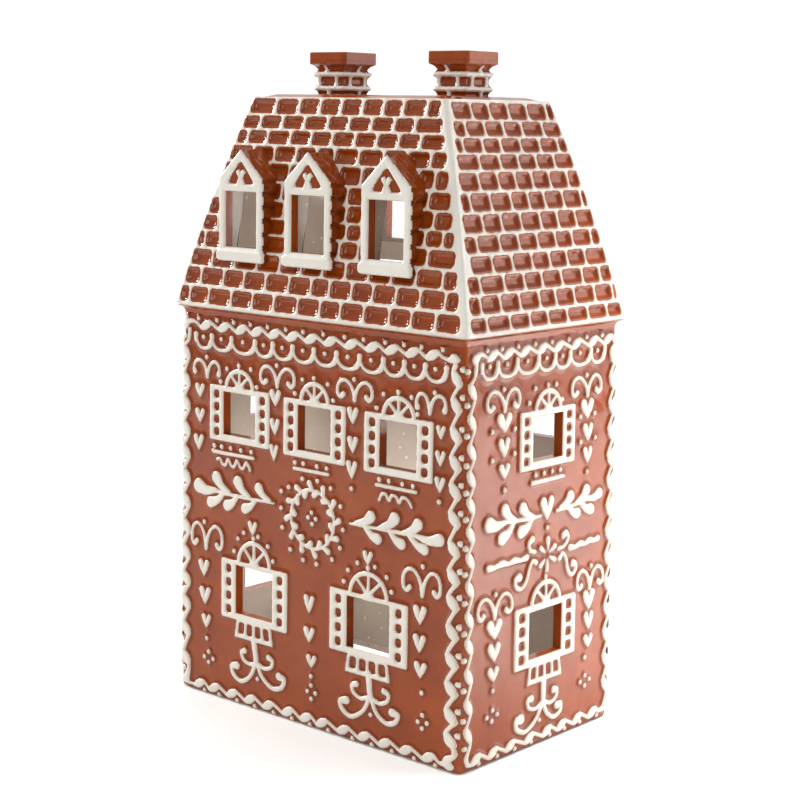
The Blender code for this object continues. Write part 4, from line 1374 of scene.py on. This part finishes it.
@dataclass
class Dormer:
    """One dormer: a brown house of its own with ribbed cheeks, and its white face plate."""

    side: Side
    centre: float
    face: float = 63.6
    half: float = 15.0
    foot: float = 245.5
    eave: float = 288.4
    apex: float = 302.4
    jamb: float = 4.8
    window_half: float = 11.8
    window_foot: float = 252.2
    window_head: float = 281.6
    plate_half: float = 16.4
    plate_face: float = 64.9
    plate_depth: float = 2.6
    sill: Point = (18.0, 3.1)
    sill_middle: float = 247.5
    sill_proud: float = 0.9
    rib_pitch: float = 7.1
    rib_rise: float = 1.5
    root: float = 4.0
    ridge_lift: float = 2.6
    recess: float = 2.1
    lining_back: float = 0.15
    steps: int = 26
    gable_foot: float = 286.2
    gable: tuple[float, float, float] = (9.4, 11.2, 14.6)
    heart: Stroke = ((1.75, 291.6, 1.7), (0.5, 289.2, 1.0), (1.2, 285.8, 1.9))
    plate_frame: tuple[float, float, float] = (19.6, 243.2, 305.4)
    plate_edge: float = 1.3
    cell: float = 0.8
    plate_cell: float = 0.6

    def place(self, u: np.ndarray, w: np.ndarray, v: np.ndarray) -> np.ndarray:
        """Carry lengths from the dormer's middle to points in metres."""
        return self.side.place(u + self.centre, w, v)

    def build_body(self) -> bmesh.types.BMesh:
        """Build the brown body: cheeks, roof, face and window tunnel.

        Returns:
            A closed mesh that ends inside the thickness of the roof.
        """
        corners = np.array([(-self.half, self.foot), (-self.half, self.eave), (0, self.apex),
                            (self.half, self.eave), (self.half, self.foot), (-self.half, self.foot)])
        lengths = np.append(0, np.cumsum(np.hypot(*np.diff(corners, axis=0).T)))
        s = spaced(lengths.tolist(), self.cell)
        u, v = np.interp(s, lengths, corners[:, 0]), np.interp(s, lengths, corners[:, 1])
        out = np.stack((-np.gradient(v, s), np.gradient(u, s)))
        out /= np.hypot(*out)
        s2, t = np.meshgrid(s, np.linspace(0, 1, self.steps))
        v2 = np.tile(v, (self.steps, 1))
        back = roof_half(v)[1] - self.root
        w = self.face + (back - self.face) * t
        on_roof = smooth((v2 - self.eave + 1.5) / 2.0)
        uneven = 0.5 * np.sin(w / 2.2 + self.centre)
        rib = np.abs(np.sin(math.pi * (v2 - self.foot + uneven) / self.rib_pitch))
        height = (1 - on_roof) * (self.rib_rise * rib ** 0.55 - 0.35)
        height += on_roof * (0.2 * wobble(w + 0.35 * np.abs(u), u / 7, 1.8, self.centre)
                             + 0.3 * wobble(w, s2, 9, self.centre))
        lift = self.ridge_lift * t * smooth((v2 - self.eave + 2) / 12)
        points = self.place(u + out[0] * height, w, v2 + out[1] * height + lift)
        points[:, -1] = points[:, 0]
        shell = make_sheet(points, pool_and_shade=0.6 * (1 - on_roof) * (1 - rib ** 0.7))
        jamb_back = self.face - self.jamb
        body = merged((shell, self.tube(((0.0, self.face), (0.0, jamb_back), (self.recess, jamb_back),
                                         (self.recess, 0.0)))))
        rims = [edge for edge in body.edges if edge.is_boundary]
        for group in self.split_rims(rims):
            bmesh.ops.triangle_fill(body, use_beauty=True, use_dissolve=False, edges=group)
        bmesh.ops.recalc_face_normals(body, faces=body.faces)
        return body

    def tube(self, rings: Sequence[Point]) -> bmesh.types.BMesh:
        """Run a square tube through the window.

        Args:
            rings: for each ring how far it's wider than the window, and its distance from the
                house's middle; 0 stands for the inside of the roof.

        Returns:
            The open tube.
        """
        rows = []
        for wider, out in rings:
            half = self.window_half + wider
            low, high = self.window_foot - wider, self.window_head + wider
            u = np.array((-half, half, half, -half, -half))
            v = np.array((low, low, high, high, low))
            w = np.full(v.size, out) if out else roof_half(v)[1] - ROOF_SHELL - 2 * LINING
            rows.append(self.place(u, w, v))
        return make_sheet(np.array(rows))

    def build_lining(self) -> bmesh.types.BMesh:
        """Build the pale lining behind the jambs.

        Returns:
            A thin closed tube.
        """
        back = self.face - self.jamb - 0.05
        wider = self.recess - 0.2
        return thicken(merged((self.tube(((0.1, back), (wider, back), (wider, 0.0))),)), self.lining_back)

    def split_rims(self, rims: list[bmesh.types.BMEdge]) -> list[list[bmesh.types.BMEdge]]:
        """Part the open edges into those of the face and those in the roof."""
        level = (self.face - 0.01) * MM
        front = [edge for edge in rims if min(abs(vert.co.y) for vert in edge.verts) > level]
        return [front, [edge for edge in rims if edge not in front]]

    def outline(self, u: np.ndarray, v: np.ndarray) -> tuple[np.ndarray, np.ndarray]:
        """Measure the plate's outline.

        Args:
            u: places across.
            v: heights.

        Returns:
            The inside distance of the plate with its sill, and of the sill alone.
        """
        scallop = np.where(v < self.eave - 2, 0.75 * np.abs(np.sin(
            math.pi * (v - self.foot) / self.rib_pitch)) ** 0.6 - 0.35, 0)
        sides = self.plate_half + scallop * (0.35 + 0.65 * (u > 0)) - np.abs(u)
        rise, run = self.apex + 1.5 - self.eave, self.plate_half + 0.4
        slant = -((np.abs(u) - run) * rise + (v - self.eave) * run) / math.hypot(rise, run)
        plate = np.minimum(np.minimum(sides, slant), v - self.sill_middle)
        sill = inside_box(u, v, (0, self.sill_middle), self.sill, 2.2)
        return np.maximum(plate, sill), sill

    def build_plate(self) -> bmesh.types.BMesh:
        """Build the white face plate.

        Returns:
            A closed plate with the window, and a gable opening that holds a heart.
        """
        reach, low, high = self.plate_frame
        columns = spaced((-reach, -self.window_half, self.window_half, reach), self.plate_cell)
        rows = spaced((low, self.window_foot, self.window_head, high), self.plate_cell)
        u, v = np.meshgrid(columns, rows)
        shape, sill = self.outline(u, v)
        run, rise, slant = self.gable
        slants = [((turn * u - run) * rise + (v - self.gable_foot) * run) / slant for turn in (-1, 1)]
        gable = 0.5 - np.log(np.exp(self.gable_foot - v) + np.exp(slants[0]) + np.exp(slants[1]))
        relief = Relief(columns, rows)
        for turn in (-1, 1):
            relief.stroke([(turn * across, up, thick) for across, up, thick in self.heart])
        gable = np.minimum(gable, -relief.edge)
        middle = (self.window_foot + self.window_head) / 2
        window = inside_box(u, v, (0, middle), (self.window_half, middle - self.window_foot), 0.1)
        edge = np.minimum(np.minimum(shape, -gable), -window)
        height = self.sill_proud * smooth(sill / 1.2 + 0.2) + 0.05 * wobble(u, v, 8, self.centre)
        height -= self.plate_edge * (1 - bulge(edge / self.plate_edge))
        near = 0.6 * self.plate_cell
        u, v = snap(u, v, edge, near)
        plate = make_sheet(self.place(u, self.plate_face + height, v), all_corners(edge > -near),
                           0.6 * (1 - smooth(edge / 0.5)))
        return thicken(plate, self.plate_depth)


@dataclass
class Chimney:
    """One square chimney: bricks that wrap its corners, two mortar rings and a brown cap."""

    centre: float
    half: float = 10.9
    corner: float = 1.2
    foot: float = 329.5
    chamfer_foot: float = 346.6
    cap_foot: float = 349.5
    cap_head: float = 355.4
    cap_half: float = 13.4
    cap_corner: float = 2.4
    rings: Point = (336.5, 344.1)
    ring_rise: float = 0.8
    ring_width: float = 1.3
    sunk: float = 0.75
    joint: float = 0.95
    brick_rounding: float = 1.5
    mortar_head: float = 348.6
    mortar_back: float = 0.4
    weld: float = 0.05
    cell: float = 0.55
    courses: Sequence[tuple[float, float, Sequence[float]]] = (
        (327.0, 335.5, (10.4, 35.2, 57.0, 79.0)),
        (337.7, 342.9, (3.1, 15.9, 27.7, 39.5, 51.5, 63.5, 75.5)),
        (345.2, 352.0, (8.8, 34.1, 52.4, 77.7)),
    )

    def wide(self, v: np.ndarray) -> np.ndarray:
        """Give half the chimney's width at heights v, with its chamfered cap."""
        share = np.clip((v - self.chamfer_foot) / (self.cap_foot - self.chamfer_foot), 0, 1)
        return self.half + (self.cap_half - self.half) * share

    def bricks(self, p: np.ndarray, v: np.ndarray) -> np.ndarray:
        """Measure the distance inside a brick at places p round the chimney and heights v.

        Args:
            p: places round the chimney.
            v: heights.

        Returns:
            The distances, negative in the mortar.
        """
        inside = np.full(p.shape, -FAR)
        girth = 8 * self.half
        for low, high, joints in self.courses:
            ends = [*joints, joints[0] + girth]
            for a, b in zip(ends, ends[1:]):
                for turn in (-girth, 0, girth):
                    box = inside_box(p + turn, v, ((a + b) / 2, (low + high) / 2),
                                     ((b - a) / 2 - self.joint, (high - low) / 2), self.brick_rounding)
                    inside = np.maximum(inside, box)
        return inside + 0.12 * wobble(p, v, 5, self.centre)

    def side_sheet(self, side: Side, white: bool) -> bmesh.types.BMesh:
        """Build one side of the brown stack or of its mortar.

        Args:
            side: which side.
            white: whether it's the mortar.

        Returns:
            The open sheet.
        """
        columns = np.linspace(-1, 1, round(2 * self.half / self.cell))
        rows = spaced((self.foot, self.chamfer_foot, self.cap_foot, self.cap_head), self.cell)
        share, v = np.meshgrid(columns, rows)
        edge = self.bricks((share + 1) * self.half + 2 * self.half * side.value, v)
        ring = sum(np.exp(-((v - z) / self.ring_width) ** 2) for z in self.rings)
        if white:
            height = -self.sunk + np.where(edge < 0, 0.55 * bulge(-edge / 0.9), -1.8 * np.maximum(edge, 0))
            height += self.ring_rise * ring + 0.06 * wobble(share * 11, v, 4, 2)
            keep = any_corner(edge < 0.05) & (v[1:, 1:] < self.mortar_head)
        else:
            in_cap = smooth((v - self.cap_foot + 1.5) / 1.5)
            height = -self.sunk - 1.1 * smooth(edge / 1.7) - 0.2 * smooth(-edge / 0.7)
            height = height * (1 - in_cap) + self.ring_rise * ring * (edge < 0)
            keep = None
        corner = self.corner + (self.cap_corner - self.corner) * smooth((v - self.chamfer_foot) / 3)
        wide = self.wide(v)
        u = share * (wide - corner * (1 - math.pi / 4))
        points = side.place(*round_corner(u, wide, wide, height, corner), v)
        pool_and_shade = 0.4 * smooth(edge / 0.8) * (edge < 1.2)
        return make_sheet(points + np.array((self.centre * MM, 0, 0)), keep, pool_and_shade)

    def build(self) -> tuple[bmesh.types.BMesh, bmesh.types.BMesh]:
        """Build the chimney.

        Returns:
            The closed brown stack with its cap, and the white mortar.
        """
        stack = merged([self.side_sheet(side, False) for side in Side], self.weld)
        rim = [edge for edge in stack.edges if edge.is_boundary and edge.verts[0].co.z > self.cap_foot * MM]
        top = bmesh.ops.contextual_create(stack, geom=rim)["faces"]
        bmesh.ops.inset_region(stack, faces=top, thickness=0.5 * MM, use_even_offset=True)
        bmesh.ops.translate(stack, vec=(0, 0, 0.35 * MM), verts=list({v for f in top for v in f.verts}))
        foot = [edge for edge in stack.edges if edge.is_boundary]
        bmesh.ops.contextual_create(stack, geom=foot)
        bmesh.ops.recalc_face_normals(stack, faces=stack.faces)
        mortar = merged([self.side_sheet(side, True) for side in Side], self.weld)
        return stack, thicken(mortar, self.mortar_back)


@dataclass
class RoofTop:
    """The brown top of the roof, gently crowned inside its white brim."""

    half: Point = (67.6, 42.7)
    clear: float = 0.6
    drop: float = 0.25
    brim: float = 2.1
    crown: float = 1.8
    crown_reach: float = 8.0
    groove: float = 0.45
    groove_width: float = 0.7
    depth: float = 1.5
    cell: float = 1.0

    def build(self) -> bmesh.types.BMesh:
        """Build the crowned top.

        Returns:
            A closed thin slab.
        """
        wide, deep = (half - self.clear for half in self.half)
        columns, rows = spaced((-wide, wide), self.cell), spaced((-deep, deep), self.cell)
        u, v = np.meshgrid(columns, rows)
        edge = inside_box(u, v, (0, 0), (wide, deep), 1.0)
        rise = self.crown * smooth((edge - self.brim) / self.crown_reach)
        groove = -self.groove * np.exp(-((edge - self.brim) / self.groove_width) ** 2)
        height = ROOF_TOP - self.drop + rise + groove + 0.05 * wobble(u, v, 17, 1)
        points = np.stack((u, v, height), -1) * MM
        return thicken(make_sheet(points), self.depth)


@dataclass
class Inside:
    """The pale glazed inside: room and attic in one skin, open at every window."""

    floor: float = 5.6
    ceiling: float = 325.2
    skin: float = 0.28
    box: Point = (96.0, 60.0)
    levels: Sequence[float] = (COVE_FOOT, ROOF_FOOT, 240.0, 310.0)
    dormer_half: float = 13.7
    dormer_span: Point = (250.3, 283.5)

    def half_at(self, v: float) -> Point:
        """Give half the inner width and depth at a height.

        Args:
            v: the height.

        Returns:
            Both lengths.
        """
        spread = FOOT_SPREAD * max(0.0, 1 - v / COVE_FOOT)
        share = min(1.0, max(0.0, v - COVE_FOOT) / (ROOF_FOOT - COVE_FOOT))
        rise = max(0.0, v - ROOF_FOOT) / (ROOF_TOP - ROOF_FOOT)
        shell = ROOF_SHELL + OVERHANG * max(0.0, 1 - rise * 2.1) + LINING
        wall = HEAD_HALF + spread - WALL - LINING, DEPTH_HALF - WALL - LINING
        return tuple(a + (float(b) - shell - a) * share for a, b in zip(wall, roof_half(np.array(v))))

    def openings(self) -> list[tuple[Side, float, float, float, float]]:
        """List every opening as its side, left, right, foot and head."""
        found = [(side, w.left, w.right, w.foot, w.head) for side in Side for w in windows_of(side)]
        return found + [(side, x - self.dormer_half, x + self.dormer_half, *self.dormer_span)
                        for side in (Side.FRONT, Side.BACK) for x in DORMER_X]

    def build(self) -> bmesh.types.BMesh:
        """Build the inner skin.

        Returns:
            A thin closed shell whose inner faces look into the room.
        """
        bm = make_box(self.box, self.floor, self.ceiling)
        cuts = {("z", z) for z in self.levels}
        for side, left, right, foot, head in self.openings():
            turn = -1 if side in (Side.BACK, Side.LEFT) else 1
            cuts |= {("z", foot), ("z", head)}
            cuts |= {("x" if side.long else "y", turn * left), ("x" if side.long else "y", turn * right)}
        for axis, place in sorted(cuts):
            normal = Vector([float(axis == name) for name in "xyz"])
            bmesh.ops.bisect_plane(bm, geom=[*bm.verts, *bm.edges, *bm.faces], plane_co=normal * place * MM,
                                   plane_no=normal, dist=1e-7)
        spare = [face for face in bm.faces if self.is_open(face)]
        bmesh.ops.delete(bm, geom=spare, context="FACES")
        for vert in bm.verts:
            for axis, (half, box) in enumerate(zip(self.half_at(vert.co.z / MM), self.box)):
                if abs(vert.co[axis]) > min(half, box - 0.01) * MM:
                    vert.co[axis] = math.copysign(half * MM, vert.co[axis])
        bmesh.ops.remove_doubles(bm, verts=bm.verts, dist=0.01 * MM)
        bmesh.ops.reverse_faces(bm, faces=bm.faces)
        bmesh.ops.solidify(bm, geom=bm.faces, thickness=self.skin * MM)
        return bm

    def is_open(self, face: bmesh.types.BMFace) -> bool:
        """Tell whether a face of the box lies in an opening.

        Args:
            face: a face of the box.

        Returns:
            Whether it lies in one.
        """
        x, y, z = face.calc_center_median() / MM
        for side, left, right, foot, head in self.openings():
            on_side = side.outward(x, y) > self.box[side.long] - 0.01
            if on_side and left < side.along(x, y) < right and foot < z < head:
                return True
        return False


@dataclass
class Foot:
    """The unglazed foot, hollowed a little so that the house stands on its rim."""

    half: Point = (97.6, 58.2)
    low: float = 0.5
    high: float = 5.4
    ring: float = 7.0
    hollow: float = 1.5
    edge: float = 0.5

    def build(self) -> bmesh.types.BMesh:
        """Build the slab.

        Returns:
            A closed slab with a shallow hollow below.
        """
        bm = make_box(self.half, self.low, self.high)
        under = [face for face in bm.faces if face.normal.z < -0.5]
        bmesh.ops.inset_region(bm, faces=under, thickness=self.ring * MM)
        bmesh.ops.translate(bm, vec=(0, 0, self.hollow * MM), verts=list({v for f in under for v in f.verts}))
        bmesh.ops.bevel(bm, geom=bm.edges, offset=self.edge * MM, affect="EDGES", segments=2, profile=0.5,
                        material=-1)
        bmesh.ops.recalc_face_normals(bm, faces=bm.faces)
        return bm


def hang(name: str, kind: str, place: Sequence[float], power: float) -> bpy.types.Object:
    """Hang a light that the camera doesn't see.

    Args:
        name: the light's name.
        kind: the kind of light.
        place: where it hangs, in metres.
        power: its power in watts.

    Returns:
        The light.
    """
    data = bpy.data.lights.new(name, kind)
    data.energy = power
    item = bpy.data.objects.new(name, data)
    item.location = place
    item.visible_camera = False
    bpy.context.scene.collection.objects.link(item)
    return item


@dataclass(frozen=True)
class Softbox:
    """A studio softbox, hung out of the picture."""

    name: str
    place: tuple[float, float, float]
    size: float
    power: float
    target: tuple[float, float, float] = (0.0, 0.0, 0.15)
    length: float = 0.0
    spread: float = 180.0

    def build(self) -> None:
        """Hang the light and turn it to its target."""
        item = hang(self.name, "AREA", self.place, self.power)
        item.data.shape = "RECTANGLE"
        item.data.size = self.size
        item.data.size_y = self.length or self.size
        item.data.spread = math.radians(self.spread)
        item.rotation_mode = "QUATERNION"
        item.rotation_quaternion = (Vector(self.target) - item.location).to_track_quat("-Z", "Y")


@dataclass(frozen=True)
class Lamp:
    """A small fill light inside the house, which stands for what the translucent body lets in."""

    name: str
    place: tuple[float, float, float]
    power: float
    radius: float = 0.03

    def build(self) -> None:
        """Hang the lamp."""
        hang(self.name, "POINT", self.place, self.power).data.shadow_soft_size = self.radius


@dataclass(frozen=True)
class Studio:
    """The camera at the photograph's angle, the pale floor, the lights and the sky."""

    camera_place: tuple[float, float, float] = (0.6335, -0.7198, 0.3245)
    yaw: float = 0.7187
    pitch: float = 0.16
    roll: float = 0.0174
    focal_px: float = 1783.6
    frame_px: float = 800.0
    sensor_mm: float = 36.0
    floor_half: float = 1.0
    backdrop_way: tuple[float, float, float] = (-0.65, 0.74, -0.1)
    backdrop_span: Point = (0.5, 0.85)
    sky_dim: float = 0.52
    sky_bright: float = 1.05
    softboxes: tuple[Softbox, ...] = (
        Softbox("overhead", (-0.1, 0.2, 1.6), 1.5, 10.0, (0.0, 0.0, 0.0)),
        Softbox("key", (0.35, -1.7, 0.85), 0.7, 7.0),
        Softbox("left", (-1.5, -0.25, 0.8), 0.4, 26.0, (0.0, 0.0, 0.2)),
        Softbox("right_back", (0.84, 0.84, 0.475), 0.9, 6.2, length=0.95),
        Softbox("right_floor", (0.5, 0.46, 0.5), 0.16, 5.4, (0.54, 0.51, 0.0), length=1.1, spread=70.0),
    )
    lamps: tuple[Lamp, ...] = (Lamp("room_lamp", (-0.035, 0.0, 0.095), 0.2),
                               Lamp("attic_lamp", (0.0, 0.0, 0.27), 0.07))

    def build_camera(self) -> None:
        """Set up the camera from its place and its turn, pitch and roll."""
        forward = Vector((-math.sin(self.yaw) * math.cos(self.pitch),
                          math.cos(self.yaw) * math.cos(self.pitch), -math.sin(self.pitch)))
        level = Vector((math.cos(self.yaw), math.sin(self.yaw), 0))
        upright = level.cross(forward)
        right = math.cos(self.roll) * level + math.sin(self.roll) * upright
        up = -math.sin(self.roll) * level + math.cos(self.roll) * upright
        data = bpy.data.cameras.new("camera")
        data.sensor_width = self.sensor_mm
        data.lens = self.focal_px / self.frame_px * self.sensor_mm
        item = bpy.data.objects.new("camera", data)
        turn = Matrix((right, up, -forward)).transposed().to_4x4()
        item.matrix_world = Matrix.Translation(self.camera_place) @ turn
        bpy.context.scene.collection.objects.link(item)
        bpy.context.scene.camera = item

    def build_floor(self) -> None:
        """Lay the plain pale floor."""
        bm = bmesh.new()
        bmesh.ops.create_grid(bm, x_segments=1, y_segments=1, size=self.floor_half)
        mesh = bpy.data.meshes.new("floor")
        bm.to_mesh(mesh)
        bm.free()
        material = bpy.data.materials.new("matt_white_paper_floor")
        material.use_nodes = True
        shader = material.node_tree.nodes["Principled BSDF"]
        shader.inputs["Base Color"].default_value = linear("#F4F3F1")
        shader.inputs["Roughness"].default_value = 0.9
        shader.inputs["Specular IOR Level"].default_value = 0.1
        mesh.materials.append(material)
        item = bpy.data.objects.new("floor", mesh)
        bpy.context.scene.collection.objects.link(item)

    def build_sky(self) -> None:
        """Surround the scene with a dim light and a bright backdrop behind the object."""
        world = bpy.data.worlds.new("studio")
        world.use_nodes = True
        tree = world.node_tree
        ways = add_node(tree, "ShaderNodeTexCoord").outputs["Generated"]
        facing = add_node(tree, "ShaderNodeVectorMath", {0: ways, 1: self.backdrop_way},
                          operation="DOT_PRODUCT")
        share = ramp(tree, facing.outputs["Value"], *self.backdrop_span)
        light = blend(tree, share, (*[self.sky_dim] * 3, 1.0), (*[self.sky_bright] * 3, 1.0))
        tree.links.new(light, tree.nodes["Background"].inputs["Color"])
        bpy.context.scene.world = world

    def build(self) -> None:
        """Set up everything round the object."""
        self.build_camera()
        self.build_floor()
        self.build_sky()
        for softbox in self.softboxes:
            softbox.build()
        for lamp in self.lamps:
            lamp.build()
        bpy.context.scene.view_settings.view_transform = "Standard"


def main() -> None:
    """Build the lantern and its studio."""
    logging.basicConfig(level=logging.INFO, format="%(message)s")
    Studio().build()
    brown = BROWN_GLAZE.material()
    white = WHITE_GLAZE.material()
    inner = INNER_GLAZE.material()
    for side in Side:
        wall = Wall(side)
        add_piece(f"{side.title}_wall", wall.build_ground(), brown, Slot.BROWN)
        add_piece(f"{side.title}_icing", wall.build_icing(), white, Slot.WHITE)
        sunk, mortar = Slope(side, FRONT_COURSES if side.long else SIDE_COURSES).build()
        add_piece(f"{side.title}_roof_bricks", sunk, brown, Slot.BROWN)
        add_piece(f"{side.title}_roof_mortar", mortar, white, Slot.WHITE)
    for side in (Side.FRONT, Side.BACK):
        for number, centre in enumerate(DORMER_X, 1):
            dormer = Dormer(side, centre)
            name = f"{side.title}_dormer_{number}"
            add_piece(name, dormer.build_body(), brown, Slot.BROWN)
            add_piece(f"{name}_plate", dormer.build_plate(), white, Slot.WHITE)
            add_piece(f"{name}_lining", dormer.build_lining(), inner, Slot.INNER)
    for name, centre in CHIMNEY_X.items():
        stack, mortar = Chimney(centre).build()
        add_piece(f"{name}_chimney", stack, brown, Slot.BROWN)
        add_piece(f"{name}_chimney_mortar", mortar, white, Slot.WHITE)
    add_piece("roof_top", RoofTop().build(), brown, Slot.BROWN)
    add_piece("inside_skin", Inside().build(), inner, Slot.INNER, 20.0)
    add_piece("foot", Foot().build(), BARE_CLAY.material(), Slot.BROWN)


if __name__ == "__main__":
    main()
